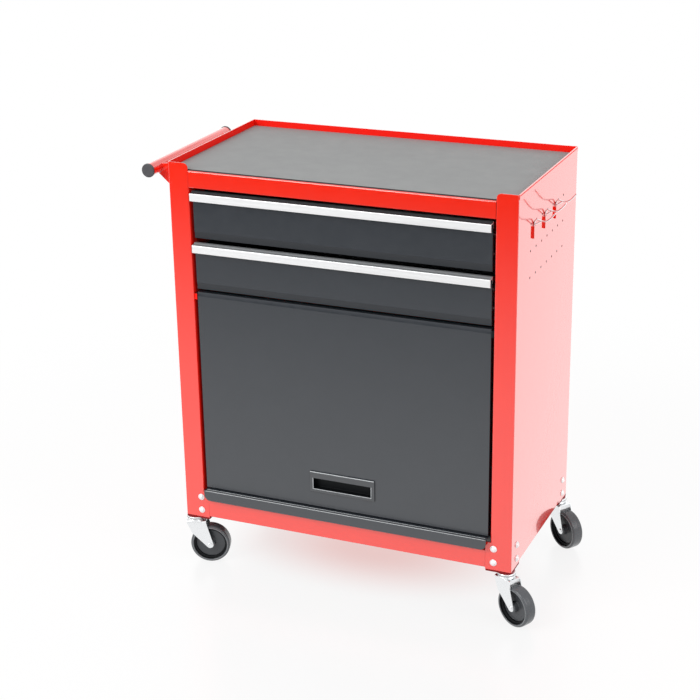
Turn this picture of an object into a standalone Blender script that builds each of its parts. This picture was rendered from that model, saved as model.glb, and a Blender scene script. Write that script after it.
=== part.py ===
"""Rolling tool cart: a folded steel cabinet on four swivel casters.

Two drawers on slides, and a door that lifts and slides in under them.
Metres, +Z up. X runs to the right seen from the front, and the front faces -Y.
The origin is on the floor, under the middle of the whole cart.
"""

import math

import bmesh
import bpy
from mathutils import Matrix, Vector

# Cabinet shell
CABINET_WIDTH = 0.615
CABINET_DEPTH = 0.330
PANEL_HEIGHT = 0.656
SHEET = 0.0012
FOLD_RADIUS = 0.002
SEAT_GAP = 0.0003
CUT_OVERRUN = 0.002

# Side panels
POST_WIDTH = 0.037
POST_RETURN = 0.014
POST_CORNER_RADIUS = 0.009
REAR_FLANGE = 0.018
FOOT_TAB_WIDTH = 0.046
FRONT_TAB_HEIGHT = 0.035
REAR_TAB_HEIGHT = 0.051
HEM_HEIGHT = 0.008
HEM_STEP = 0.0008
BOTTOM_FLANGE = 0.015
BOTTOM_FOLD_RADIUS = 0.003

# Peg holes and hook sockets in the right panel
PEG_HOLE_RADIUS = 0.0022
PEG_COLUMNS = 7
PEG_ROWS = 3
PEG_COLUMN_PITCH = 0.0304
PEG_ROW_PITCH = 0.045
PEG_FIRST_FROM_FRONT = 0.0665
PEG_TOP_ROW_DROP = 0.0645
SOCKET_FIRST_FROM_FRONT = 0.0792
SOCKET_DROP = 0.071
SOCKET_HEIGHT = 0.020
SOCKET_WIDTH = 0.008
SOCKET_PROUD = 0.003
SOCKET_SLOT_RISE = 0.007

# Wire hooks
HOOK_WIRE_RADIUS = 0.0013
HOOK_LEG_OUT = 0.0002
HOOK_LEG_FOOT = 0.002
HOOK_NECK_OUT = 0.0019
HOOK_NECK_RISE = 0.0055
HOOK_ROOT_RISE = 0.0105
HOOK_REACH = 0.036
HOOK_TIP_RISE = 0.0245
HOOK_BRACE_FOOT = 0.0024
HOOK_NAMES = ("front", "middle", "rear")

# Channel behind the hook sockets
HOOK_RAIL_DEPTH = 0.0045
HOOK_RAIL_HEIGHT = 0.044
HOOK_RAIL_DROP = 0.055
HOOK_RAIL_END_MARGIN = 0.014

# Top
TOP_RAIL_DROP = 0.013
MAT_THICKNESS = 0.0032
MAT_MARGIN = 0.001
TRAY_FLANGE = 0.015
TOP_RAIL_HEIGHT = 0.0295
TOP_RAIL_LIP = 0.004
RAIL_FLANGE = 0.013

# Bottom rails and brackets
RAIL_STEP = 0.002
BRACKET_PLATE = 0.003
BRACKET_SHEET = 0.002
BRACKET_HEIGHT = 0.050
BRACKET_CHAMFER = 0.028
BOLT_RADIUS = 0.003
BOLT_HEAD_RADIUS = 0.0055
BOLT_CROWN_RADIUS = 0.0035
BOLT_HEAD_HEIGHT = 0.0026
BOLT_NUT_RADIUS = 0.0055
BOLT_NUT_HEIGHT = 0.005
FRONT_BOLT_INSET = 0.0315
SIDE_BOLT_INSET = 0.029
BOLT_LEVELS = (0.0138, 0.0394)

# Shelf with its rolled front lip
SHELF_HEIGHT = 0.0578
LIP_PROJECTION = 0.009
LIP_DROP = 0.0198
LIP_HEM = 0.004
LIP_SIDE_GAP = 0.0055
LIP_FOLD_RADIUS = 0.003
LIP_CORNER_RADIUS = 0.012

# Inner uprights
UPRIGHT_FRONT_GAP = 0.003
UPRIGHT_REAR_MARGIN = 0.008
UPRIGHT_TOP_DROP = 0.044
UPRIGHT_BOTTOM_DROP = 0.256

# Drawers
FRONT_SIDE_GAP = 0.00575
FRONT_RECESS = 0.003
FRONT_HEIGHT = 0.083
FRONT_SPACING = 0.0078
FRONT_TOP_GAP = 0.0045
FRONT_RETURN = 0.012
CREASE_HEIGHT = 0.010
CREASE_DEPTH = 0.0012
CREASE_SLOPE = 0.0015
BOX_TOP_DROP = 0.008
BOX_FLOOR_RISE = 0.008
BOX_BACK_MARGIN = 0.030
DRAWER_NAMES = ("upper", "lower")

# Aluminium drawer pulls
PULL_SIDE_GAP = 0.005
PULL_PROJECTION = 0.011
PULL_HEIGHT = 0.016
PULL_STEP_BACK = 0.0025
PULL_STEP_DROP = 0.0019
PULL_WALL = 0.0016
PULL_CLIP_DEPTH = 0.012
PULL_HEM = 0.003
PULL_EDGE_RADIUS = 0.0012

# Drawer slides
SLIDE_LENGTH = 0.280
SLIDE_HEIGHT = 0.035
SLIDE_FLANGE = 0.0092
SLIDE_DEPTH = 0.0115
SLIDE_FRONT_GAP = 0.001

# Door
DOOR_GAP_ABOVE = 0.006
DOOR_GAP_BELOW = 0.0025
DOOR_RETURN = 0.014
DOOR_BAND_HEIGHT = 0.007
DOOR_BAND_DEPTH = 0.0008
DOOR_PIVOT_DEPTH = 0.007
DOOR_PIVOT_DROP = 0.008
ROLLER_RADIUS = 0.0037
ROLLER_WIDTH = 0.0032
ROLLER_PIN_RADIUS = 0.0025
ROLLER_PIN_HEAD_RADIUS = 0.0045
ROLLER_PIN_HEAD = 0.003
DOOR_TRAVEL = 0.270
TRACK_FRONT_MARGIN = 0.002
TRACK_STOP = 0.0035

# Recessed door pull
GRIP_WIDTH = 0.121
GRIP_HEIGHT = 0.0387
GRIP_BOTTOM_HEIGHT = 0.088
GRIP_BEZEL = 0.0025
GRIP_BEZEL_LEDGE = 0.004
GRIP_DEPTH = 0.0115
GRIP_WALL = 0.0015
GRIP_SLOT_WIDTH = 0.109
GRIP_SLOT_HEIGHT = 0.0205
GRIP_SLOT_RISE = 0.006
GRIP_HOOD = 0.003
GRIP_EDGE_BEVEL = 0.0012

# Side handle
HANDLE_OFFSET = 0.050
HANDLE_DROP = 0.025
HANDLE_END_MARGIN = 0.0215
HANDLE_RADIUS = 0.011
HANDLE_WALL = 0.0015
HANDLE_CAP = 0.003
HANDLE_PLUG = 0.010
HANDLE_BRACKET_INSET = 0.0285
HANDLE_BRACKET_SHEET = 0.0025
HANDLE_BRACKET_TOP = 0.011
HANDLE_BRACKET_HEIGHT = 0.062
HANDLE_SADDLE_TURN = 35.0
HANDLE_SADDLE_REACH = 0.0045
HANDLE_FOOT_WIDTH = 0.018
HANDLE_BOLT_FROM_TOP = 0.0255
HANDLE_BOLT_FROM_BOTTOM = 0.009

# Casters
WHEEL_RADIUS = 0.036
WHEEL_WIDTH = 0.022
WHEEL_SHOULDER = 0.004
WHEEL_RIM_RADIUS = 0.030
WHEEL_STEP_RADIUS = 0.0262
WHEEL_WEB_HALF = 0.003
WHEEL_STEP_HALF = 0.0065
WHEEL_HUB_RADIUS = 0.0085
AXLE_RADIUS = 0.003
AXLE_HEAD_RADIUS = 0.0038
AXLE_HEAD = 0.0013
FORK_SHEET = 0.002
FORK_SIDE_GAP = 0.0012
FORK_REAR = 0.0155
FORK_FRONT = 0.0200
FORK_KNEE = 0.0055
FORK_KNEE_HEIGHT = 0.059
FORK_END_RADIUS = 0.0064
FORK_BEND_RADIUS = 0.004
FORK_DOME_RADIUS = 0.0150
FORK_DOME_HEIGHT = 0.0027
UPPER_RACE_RADIUS = 0.0158
UPPER_RACE_HEIGHT = 0.0050
RACE_EDGE = 0.0014
STEM_RADIUS = 0.004
STEM_NUT_RADIUS = 0.0075
STEM_NUT_HEIGHT = 0.0065
STEM_TIP = 0.003
KINGPIN_HEAD_RADIUS = 0.0075
KINGPIN_HEAD = 0.0025
CASTER_HEIGHT = 0.0914
CASTER_TRAIL = 0.026
CASTER_INSET = 0.0115
# Each caster's corner in X and Y, and the angle in degrees that its wheel trails at from +X.
CASTERS = {
    "front_left": (-1, -1, 18.0),
    "front_right": (1, -1, -28.0),
    "rear_left": (-1, 1, 40.0),
    "rear_right": (1, 1, -35.0),
}

# Facets
FOLD_STEPS = 2
CORNER_STEPS = 5
HOLE_SEGMENTS = 8
BOLT_SEGMENTS = 8
TURNED_SEGMENTS = 24
TUBE_SEGMENTS = 20
HEX = 6
SHARP_ANGLE = math.radians(32)
WELD = 0.000001

# Places that follow from the sizes above
HALF_WIDTH = CABINET_WIDTH / 2
HALF_DEPTH = CABINET_DEPTH / 2
FRONT_Y = -HALF_DEPTH
BACK_Y = HALF_DEPTH
PANEL_BOTTOM = CASTER_HEIGHT + SEAT_GAP + BRACKET_PLATE + SEAT_GAP
PANEL_TOP = PANEL_BOTTOM + PANEL_HEIGHT
SKIN_INNER_X = HALF_WIDTH - SHEET
POST_INNER_X = HALF_WIDTH - POST_WIDTH
TAB_INNER_X = HALF_WIDTH - FOOT_TAB_WIDTH
TOP_RAIL_TOP = PANEL_TOP - TOP_RAIL_DROP
TOP_RAIL_BOTTOM = TOP_RAIL_TOP - TOP_RAIL_HEIGHT
TRAY_TOP = TOP_RAIL_TOP - SHEET - SEAT_GAP
MAT_BOTTOM = TRAY_TOP + SEAT_GAP
BACK_SHEET_Y = BACK_Y - SHEET - SEAT_GAP
BACK_SHEET_FRONT_Y = BACK_SHEET_Y - SHEET
BRACKET_TOP = PANEL_BOTTOM + BRACKET_HEIGHT
SHELF_TOP = PANEL_BOTTOM + SHELF_HEIGHT
FACE_Y = FRONT_Y + FRONT_RECESS
FRONT_HALF_WIDTH = POST_INNER_X - FRONT_SIDE_GAP
PULL_HALF_WIDTH = POST_INNER_X - PULL_SIDE_GAP
LIP_HALF_WIDTH = POST_INNER_X - LIP_SIDE_GAP
DRAWER_PITCH = FRONT_HEIGHT + FRONT_SPACING
FIRST_DRAWER_TOP = TOP_RAIL_BOTTOM - FRONT_TOP_GAP
DOOR_TOP = FIRST_DRAWER_TOP - (len(DRAWER_NAMES) - 1) * DRAWER_PITCH - FRONT_HEIGHT - DOOR_GAP_ABOVE
DOOR_BOTTOM = SHELF_TOP + DOOR_GAP_BELOW
DOOR_PIVOT_Y = FACE_Y + DOOR_PIVOT_DEPTH
DOOR_PIVOT_Z = DOOR_TOP - DOOR_PIVOT_DROP
UPRIGHT_FRONT_Y = FRONT_Y + POST_RETURN + UPRIGHT_FRONT_GAP
UPRIGHT_REAR_Y = BACK_Y - UPRIGHT_REAR_MARGIN
SLIDE_OUTER_X = POST_INNER_X - SEAT_GAP
SLIDE_INNER_X = SLIDE_OUTER_X - SLIDE_DEPTH
BOX_HALF_WIDTH = SLIDE_INNER_X - SEAT_GAP
BOX_FRONT = SHEET + SEAT_GAP + PULL_WALL + SEAT_GAP
HANDLE_X = -(HALF_WIDTH + HANDLE_OFFSET)
HANDLE_Z = PANEL_TOP - HANDLE_DROP
HANDLE_HALF_LENGTH = HALF_DEPTH - HANDLE_END_MARGIN
BRACKET_OFFSET = HANDLE_HALF_LENGTH - HANDLE_BRACKET_INSET
HOOK_FIRST_Y = FRONT_Y + SOCKET_FIRST_FROM_FRONT
HOOK_PITCH = 2 * PEG_COLUMN_PITCH
SOCKET_TOP = PANEL_TOP - SOCKET_DROP
FORK_HALF_GAP = WHEEL_WIDTH / 2 + FORK_SIDE_GAP
FORK_HALF_WIDTH = FORK_HALF_GAP + FORK_SHEET

# Planes: each matrix takes an outline's own X, Y and thickness to the cart's axes.
PLANE_XZ = Matrix(((1, 0, 0, 0), (0, 0, -1, 0), (0, 1, 0, 0), (0, 0, 0, 1)))
PLANE_YZ = Matrix(((0, 0, 1, 0), (1, 0, 0, 0), (0, 1, 0, 0), (0, 0, 0, 1)))
ALONG_X = Matrix.Rotation(math.pi / 2, 4, "Y")
ALONG_Y = Matrix.Rotation(-math.pi / 2, 4, "X")


def clear_scene():
    """Remove whatever the file holds, such as the default cube."""
    for existing in list(bpy.data.objects):
        bpy.data.objects.remove(existing, do_unlink=True)


def new_collection(name):
    """Make a collection in the scene and return it."""
    collection = bpy.data.collections.new(name)
    bpy.context.scene.collection.children.link(collection)
    return collection


def new_material(name, colour, roughness, metallic):
    """Make a Principled material from a linear colour."""
    material = bpy.data.materials.new(name)
    material.use_nodes = True
    shader = material.node_tree.nodes["Principled BSDF"]
    shader.inputs["Base Color"].default_value = (*colour, 1.0)
    shader.inputs["Roughness"].default_value = roughness
    shader.inputs["Metallic"].default_value = metallic
    material.diffuse_color = (*colour, 1.0)
    return material


clear_scene()
PARTS = new_collection("tool_cart")
WORKBENCH = new_collection("cutters")
RED = new_material("red_paint", (0.80, 0.020, 0.012), 0.22, 0.0)
CHARCOAL = new_material("charcoal_paint", (0.052, 0.058, 0.064), 0.42, 0.0)
ALUMINIUM = new_material("aluminium", (0.80, 0.80, 0.79), 0.28, 1.0)
ZINC = new_material("zinc_plate", (0.72, 0.73, 0.74), 0.30, 1.0)
MAT_GREY = new_material("mat_grey", (0.33, 0.34, 0.33), 0.75, 0.0)
WHEEL_GREY = new_material("wheel_grey", (0.060, 0.064, 0.068), 0.45, 0.0)
BLACK_PLASTIC = new_material("black_plastic", (0.030, 0.033, 0.036), 0.38, 0.0)


# Modelling tools: each makes or joins meshes in the place where they stay.

def mesh_from(bm, name):
    """Turn a bmesh of closed bodies into a mesh with its faces pointing out."""
    bmesh.ops.recalc_face_normals(bm, faces=bm.faces)
    if bm.calc_volume(signed=True) < 0:
        bmesh.ops.reverse_faces(bm, faces=bm.faces)
    mesh = bpy.data.meshes.new(name)
    bm.to_mesh(mesh)
    bm.free()
    return mesh


def settled(holder, name):
    """Apply what a working object carries, remove it and return its welded mesh."""
    depsgraph = bpy.context.evaluated_depsgraph_get()
    source = bpy.data.meshes.new_from_object(holder.evaluated_get(depsgraph))
    bm = bmesh.new()
    bm.from_mesh(source)
    bm.transform(holder.matrix_world)
    bmesh.ops.remove_doubles(bm, verts=bm.verts, dist=WELD)
    bpy.data.objects.remove(holder, do_unlink=True)
    bpy.data.meshes.remove(source)
    return mesh_from(bm, name)


def working_object(data):
    """Put a mesh or curve on the workbench as a hidden wire object."""
    holder = bpy.data.objects.new("working", data)
    WORKBENCH.objects.link(holder)
    holder.hide_render = True
    holder.display_type = "WIRE"
    return holder


def combined(base, others, operation):
    """Join to, cut from or intersect a mesh with others by exact Booleans."""
    holder = working_object(base)
    helpers = []
    for other in others:
        helper = working_object(other)
        modifier = holder.modifiers.new("step", "BOOLEAN")
        modifier.operation = operation
        modifier.solver = "EXACT"
        modifier.object = helper
        helpers.append(helper)
    result = settled(holder, base.name)
    for helper in helpers:
        bpy.data.objects.remove(helper, do_unlink=True)
    return result


def joined(base, *others):
    """Return the union of meshes."""
    return combined(base, others, "UNION")


def cut(base, *others):
    """Return the first mesh less the others."""
    return combined(base, others, "DIFFERENCE")


def together(*meshes):
    """Put separate bodies in one mesh, to cut with all of them at once."""
    bm = bmesh.new()
    for mesh in meshes:
        bm.from_mesh(mesh)
    return mesh_from(bm, "tools")


def moved(mesh, matrix):
    """Return a mesh after moving it by a matrix, with its faces still pointing out."""
    bm = bmesh.new()
    bm.from_mesh(mesh)
    bm.transform(matrix)
    return mesh_from(bm, mesh.name)


def mirrored(mesh, axis):
    """Return the mirror image of a mesh across the plane through the origin, square to an axis."""
    return moved(mesh, Matrix.Scale(-1, 4, axis))


def box(low, high):
    """A block between two corners."""
    bm = bmesh.new()
    bmesh.ops.create_cube(bm, size=1)
    low, high = Vector(low), Vector(high)
    size = high - low
    bmesh.ops.scale(bm, vec=size, verts=bm.verts)
    bmesh.ops.translate(bm, vec=(low + high) / 2, verts=bm.verts)
    return mesh_from(bm, "box")


def rod(start, end, radius, segments, end_radius=None):
    """A round or tapered bar between two points."""
    start, end = Vector(start), Vector(end)
    axis = end - start
    bm = bmesh.new()
    bmesh.ops.create_cone(
        bm,
        cap_ends=True,
        segments=segments,
        radius1=radius,
        radius2=radius if end_radius is None else end_radius,
        depth=axis.length,
    )
    turn = Vector((0, 0, 1)).rotation_difference(axis).to_matrix().to_4x4()
    bm.transform(Matrix.Translation((start + end) / 2) @ turn)
    return mesh_from(bm, "rod")


def arc(centre, radius, start, end, steps):
    """Points along a circular arc, with angles in radians."""
    turns = [start + (end - start) * step / steps for step in range(steps + 1)]
    return [(centre[0] + radius * math.cos(turn), centre[1] + radius * math.sin(turn)) for turn in turns]


def rounded(path, radius, steps, closed=False):
    """Replace a path's corners by arcs of one radius."""
    count = len(path)
    result = []
    for index, point in enumerate(path):
        if not closed and index in (0, count - 1):
            result.append(point)
            continue
        here = Vector(point)
        before = (Vector(path[index - 1]) - here).normalized()
        after = (Vector(path[(index + 1) % count]) - here).normalized()
        half = before.angle(after) / 2
        reach = radius / math.tan(half)
        centre = here + (before + after).normalized() * radius / math.sin(half)
        first = here + before * reach - centre
        last = here + after * reach - centre
        start = math.atan2(first.y, first.x)
        sweep = math.remainder(math.atan2(last.y, last.x) - start, 2 * math.pi)
        result += arc(centre, radius, start, start + sweep, steps)
    return result


def prism(outline, thickness, plane=None, offset=0.0):
    """A flat outline with a thickness, from a filled 2D curve, set on a plane."""
    curve = bpy.data.curves.new("outline", "CURVE")
    curve.dimensions = "2D"
    curve.fill_mode = "BOTH"
    curve.extrude = thickness / 2
    spline = curve.splines.new("POLY")
    spline.points.add(len(outline) - 1)
    for target, point in zip(spline.points, outline):
        target.co = (point[0], point[1], 0, 1)
    spline.use_cyclic_u = True
    flat = settled(working_object(curve), "prism")
    bpy.data.curves.remove(curve)
    return moved(flat, (plane or Matrix()) @ Matrix.Translation((0, 0, offset + thickness / 2)))


def folded(path, length, thickness, plane=None, offset=0.0):
    """A sheet folded along a path, with its thickness to the left of the path's direction."""
    bm = bmesh.new()
    near = [bm.verts.new((point[0], point[1], 0)) for point in path]
    far = [bm.verts.new((point[0], point[1], length)) for point in path]
    for index in range(len(path) - 1):
        bm.faces.new((near[index], near[index + 1], far[index + 1], far[index]))
    mesh = bpy.data.meshes.new("folded")
    bm.to_mesh(mesh)
    bm.free()
    holder = working_object(mesh)
    wall = holder.modifiers.new("wall", "SOLIDIFY")
    wall.thickness = thickness
    wall.offset = -1
    wall.use_even_offset = True
    return moved(settled(holder, "folded"), (plane or Matrix()) @ Matrix.Translation((0, 0, offset)))


def turned(profile, closed=False, segments=TURNED_SEGMENTS):
    """A profile of radius and height, turned round the Z axis."""
    bm = bmesh.new()
    points = [bm.verts.new((radius, 0, height)) for radius, height in profile]
    pairs = list(zip(points, points[1:]))
    if closed:
        pairs.append((points[-1], points[0]))
    for pair in pairs:
        bm.edges.new(pair)
    mesh = bpy.data.meshes.new("turned")
    bm.to_mesh(mesh)
    bm.free()
    holder = working_object(mesh)
    screw = holder.modifiers.new("turn", "SCREW")
    screw.steps = segments
    screw.render_steps = segments
    screw.use_merge_vertices = True
    screw.merge_threshold = WELD
    return settled(holder, "turned")


def wire(points, radius):
    """A bent wire along points, from a bevelled curve with filled ends."""
    curve = bpy.data.curves.new("wire", "CURVE")
    curve.dimensions = "3D"
    curve.bevel_depth = radius
    curve.bevel_resolution = 2
    curve.use_fill_caps = True
    spline = curve.splines.new("POLY")
    spline.points.add(len(points) - 1)
    for target, point in zip(spline.points, points):
        target.co = (*point, 1)
    mesh = settled(working_object(curve), "wire")
    bpy.data.curves.remove(curve)
    return mesh


def bevelled(mesh, width, segments=2):
    """Round the sharp edges of a mesh."""
    holder = working_object(mesh)
    edge = holder.modifiers.new("edge", "BEVEL")
    edge.width = width
    edge.segments = segments
    edge.limit_method = "ANGLE"
    edge.angle_limit = SHARP_ANGLE
    return settled(holder, mesh.name)


def add_part(name, mesh, material, parent, location=(0, 0, 0)):
    """Add a finished piece to the cart."""
    mesh.materials.clear()
    mesh.materials.append(material)
    mesh.shade_smooth()
    mesh.set_sharp_from_angle(angle=SHARP_ANGLE)
    part = bpy.data.objects.new(name, mesh)
    PARTS.objects.link(part)
    part.parent = parent
    part.location = location
    return part


def add_frame(name, parent, location, turn=0.0):
    """Add an empty that carries the pieces of one moving group."""
    empty = bpy.data.objects.new(name, None)
    PARTS.objects.link(empty)
    empty.parent = parent
    empty.location = location
    empty.rotation_euler = (0, 0, turn)
    return empty


def bolt(head_face, direction, grip):
    """A round-headed bolt through a grip, with its nut, as one body."""
    out = Vector(direction)
    face = Vector(head_face)
    head = rod(face, face + out * BOLT_HEAD_HEIGHT, BOLT_HEAD_RADIUS, BOLT_SEGMENTS, BOLT_CROWN_RADIUS)
    nut_face = face - out * grip
    shank = rod(face + out * SEAT_GAP, nut_face - out * SEAT_GAP, BOLT_RADIUS, BOLT_SEGMENTS)
    nut = rod(nut_face, nut_face - out * BOLT_NUT_HEIGHT, BOLT_NUT_RADIUS, HEX)
    return joined(shank, head, nut)


# Side panels

def panel_shell():
    """The right side panel before its holes: skin, post, rear flange, tabs, hem and bottom flange."""
    plan = [
        (POST_INNER_X, FRONT_Y + POST_RETURN),
        (POST_INNER_X, FRONT_Y),
        (HALF_WIDTH, FRONT_Y),
        (HALF_WIDTH, BACK_Y),
        (HALF_WIDTH - REAR_FLANGE, BACK_Y),
    ]
    shell = folded(rounded(plan, FOLD_RADIUS, FOLD_STEPS), PANEL_HEIGHT, SHEET, offset=PANEL_BOTTOM)
    return_low = (POST_INNER_X - CUT_OVERRUN, FRONT_Y - CUT_OVERRUN, PANEL_BOTTOM - CUT_OVERRUN)
    return_foot = box(
        return_low,
        (POST_INNER_X + FOLD_RADIUS, FRONT_Y + POST_RETURN + CUT_OVERRUN, BRACKET_TOP + SEAT_GAP),
    )
    return_head = box(
        (POST_INNER_X - CUT_OVERRUN, FRONT_Y + SHEET, TRAY_TOP - SHEET - SEAT_GAP),
        (POST_INNER_X + FOLD_RADIUS, FRONT_Y + POST_RETURN + CUT_OVERRUN, PANEL_TOP + CUT_OVERRUN),
    )
    corner_centre = (POST_INNER_X + POST_CORNER_RADIUS, PANEL_TOP - POST_CORNER_RADIUS)
    corner = arc(corner_centre, POST_CORNER_RADIUS, math.pi / 2, math.pi, CORNER_STEPS)
    corner += [
        (POST_INNER_X - CUT_OVERRUN, corner_centre[1]),
        (POST_INNER_X - CUT_OVERRUN, PANEL_TOP + CUT_OVERRUN),
        (corner_centre[0], PANEL_TOP + CUT_OVERRUN),
    ]
    post_corner = prism(corner, SHEET + 2 * CUT_OVERRUN, PLANE_XZ, -FRONT_Y - SHEET - CUT_OVERRUN)
    flange_front = FRONT_Y + FOOT_TAB_WIDTH + SEAT_GAP
    flange_rear = BACK_Y - FOOT_TAB_WIDTH - SEAT_GAP
    skin_edge = box(
        (SKIN_INNER_X - CUT_OVERRUN, flange_front, PANEL_BOTTOM - CUT_OVERRUN),
        (HALF_WIDTH + CUT_OVERRUN, flange_rear, PANEL_BOTTOM + BOTTOM_FOLD_RADIUS),
    )
    shell = cut(shell, return_foot, return_head, post_corner, skin_edge)
    front_tab = box(
        (TAB_INNER_X, FRONT_Y, PANEL_BOTTOM),
        (POST_INNER_X + FOLD_RADIUS + SHEET, FRONT_Y + SHEET, BRACKET_TOP + SEAT_GAP),
    )
    rear_tab = box(
        (TAB_INNER_X, BACK_Y - SHEET, PANEL_BOTTOM),
        (HALF_WIDTH - REAR_FLANGE + SHEET, BACK_Y, PANEL_BOTTOM + REAR_TAB_HEIGHT),
    )
    hem = box(
        (HALF_WIDTH - SHEET / 2, FRONT_Y + FOLD_RADIUS, PANEL_TOP - HEM_HEIGHT),
        (HALF_WIDTH + HEM_STEP, BACK_Y - FOLD_RADIUS, PANEL_TOP),
    )
    section = [
        (HALF_WIDTH - BOTTOM_FLANGE, PANEL_BOTTOM),
        (HALF_WIDTH, PANEL_BOTTOM),
        (HALF_WIDTH, PANEL_BOTTOM + BOTTOM_FOLD_RADIUS + SHEET),
    ]
    flange = folded(
        rounded(section, BOTTOM_FOLD_RADIUS - WELD, FOLD_STEPS),
        flange_rear - flange_front,
        SHEET,
        PLANE_XZ,
        -flange_rear,
    )
    return joined(shell, front_tab, rear_tab, hem, flange)


def corner_bolt_holes():
    """Clearance holes for the corner bolts in the right panel's front, rear and skin."""
    radius = BOLT_RADIUS + SEAT_GAP
    holes = []
    for height in BOLT_LEVELS:
        level = PANEL_BOTTOM + height
        for edge, inward in ((FRONT_Y, 1), (BACK_Y, -1)):
            across = HALF_WIDTH - FRONT_BOLT_INSET
            along = edge + inward * SIDE_BOLT_INSET
            start = (across, edge - CUT_OVERRUN, level)
            holes.append(rod(start, (across, edge + CUT_OVERRUN, level), radius, BOLT_SEGMENTS))
            start = (HALF_WIDTH + CUT_OVERRUN, along, level)
            holes.append(rod(start, (SKIN_INNER_X - CUT_OVERRUN, along, level), radius, BOLT_SEGMENTS))
    return holes


def across_skin(along, level, radius, segments):
    """A round cutter through the right skin."""
    start = (SKIN_INNER_X - CUT_OVERRUN, along, level)
    return rod(start, (HALF_WIDTH + CUT_OVERRUN, along, level), radius, segments)


def peg_holes():
    """The rows of peg holes."""
    holes = []
    for row in range(PEG_ROWS):
        level = PANEL_TOP - PEG_TOP_ROW_DROP - row * PEG_ROW_PITCH
        for column in range(PEG_COLUMNS):
            along = FRONT_Y + PEG_FIRST_FROM_FRONT + column * PEG_COLUMN_PITCH
            holes.append(across_skin(along, level, PEG_HOLE_RADIUS, HOLE_SEGMENTS))
    return holes


def hook_sockets():
    """The pressed-out sockets, and the slots that open them for the hooks' legs."""
    bosses, slots = [], []
    slot_half = HOOK_WIRE_RADIUS + SEAT_GAP
    low = SOCKET_TOP - SOCKET_HEIGHT
    for index in range(len(HOOK_NAMES)):
        along = HOOK_FIRST_Y + index * HOOK_PITCH
        half = SOCKET_WIDTH / 2
        start = (HALF_WIDTH - SHEET / 2, along - half, low)
        bosses.append(box(start, (HALF_WIDTH + SOCKET_PROUD, along + half, SOCKET_TOP)))
        start = (SKIN_INNER_X - CUT_OVERRUN, along - slot_half, low - CUT_OVERRUN)
        wall = HALF_WIDTH + SOCKET_PROUD - SHEET
        slots.append(box(start, (wall, along + slot_half, SOCKET_TOP + SOCKET_SLOT_RISE)))
    return bosses, slots


def handle_bolt_levels():
    """Heights of the two bolts in a handle bracket's foot."""
    top = HANDLE_Z + HANDLE_BRACKET_TOP
    return (top - HANDLE_BOLT_FROM_TOP, top - HANDLE_BRACKET_HEIGHT + HANDLE_BOLT_FROM_BOTTOM)


def handle_bolt_holes():
    """Clearance holes for the handle's bolts, on the right panel's side of the mirror."""
    holes = []
    for side in (-1, 1):
        along = side * BRACKET_OFFSET + HANDLE_FOOT_WIDTH / 2
        for level in handle_bolt_levels():
            holes.append(across_skin(along, level, BOLT_RADIUS + SEAT_GAP, BOLT_SEGMENTS))
    return holes


def add_side_panels(cabinet):
    """Both side panels: peg holes and hook sockets on the right, handle bolts on the left."""
    shell = panel_shell()
    bosses, slots = hook_sockets()
    right = cut(joined(shell.copy(), *bosses), together(*corner_bolt_holes(), *peg_holes(), *slots))
    left = cut(shell, together(*corner_bolt_holes(), *handle_bolt_holes()))
    add_part("side_panel_right", right, RED, cabinet)
    add_part("side_panel_left", mirrored(left, (1, 0, 0)), RED, cabinet)


# Back, top and rails

def add_back(cabinet):
    """The back sheet, seated on the panels' rear flanges and on the rear rail."""
    half = SKIN_INNER_X - (FOLD_RADIUS - SHEET)
    low = (-half, BACK_SHEET_FRONT_Y, PANEL_BOTTOM + REAR_TAB_HEIGHT + SEAT_GAP)
    add_part("back_panel", box(low, (half, BACK_SHEET_Y, PANEL_TOP)), RED, cabinet)


def add_top(cabinet):
    """The tray, the mat that lies in it and the rail over the drawers."""
    half = SKIN_INNER_X - SEAT_GAP
    tray_front = FRONT_Y + FOLD_RADIUS + SEAT_GAP
    tray_rear = BACK_SHEET_FRONT_Y - SEAT_GAP
    section = [
        (half, TRAY_TOP - TRAY_FLANGE),
        (half, TRAY_TOP),
        (-half, TRAY_TOP),
        (-half, TRAY_TOP - TRAY_FLANGE),
    ]
    floor = folded(rounded(section, FOLD_RADIUS, FOLD_STEPS), tray_rear - tray_front, SHEET, PLANE_XZ, -tray_rear)
    rear_flange = box(
        (-half + FOLD_RADIUS, tray_rear - SHEET, TRAY_TOP - TRAY_FLANGE),
        (half - FOLD_RADIUS, tray_rear, TRAY_TOP - SHEET / 2),
    )
    front_relief = [
        box(
            (side * half - SHEET - CUT_OVERRUN, tray_front - CUT_OVERRUN, TRAY_TOP - TRAY_FLANGE - CUT_OVERRUN),
            (side * half + SHEET + CUT_OVERRUN, tray_front + FOLD_RADIUS, TRAY_TOP - FOLD_RADIUS),
        )
        for side in (-1, 1)
    ]
    tray = cut(joined(floor, rear_flange), together(*front_relief))
    add_part("top_tray", tray, RED, cabinet)

    mat_half = SKIN_INNER_X - MAT_MARGIN
    mat_low = (-mat_half, FRONT_Y + TOP_RAIL_LIP + SEAT_GAP, MAT_BOTTOM)
    mat = box(mat_low, (mat_half, BACK_SHEET_FRONT_Y - MAT_MARGIN, MAT_BOTTOM + MAT_THICKNESS))
    add_part("top_mat", mat, MAT_GREY, cabinet)

    section = [
        (FRONT_Y + TOP_RAIL_LIP, TOP_RAIL_TOP),
        (FRONT_Y, TOP_RAIL_TOP),
        (FRONT_Y, TOP_RAIL_BOTTOM),
        (FRONT_Y + RAIL_FLANGE, TOP_RAIL_BOTTOM),
    ]
    half = POST_INNER_X - SEAT_GAP
    add_part("top_front_rail", rail(section, half), RED, cabinet)


def rail(section, half_length):
    """A folded rail across the cabinet, from its section in Y and Z."""
    path = rounded(section, FOLD_RADIUS, FOLD_STEPS)
    return folded(path, 2 * half_length, SHEET, PLANE_YZ, -half_length)


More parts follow.
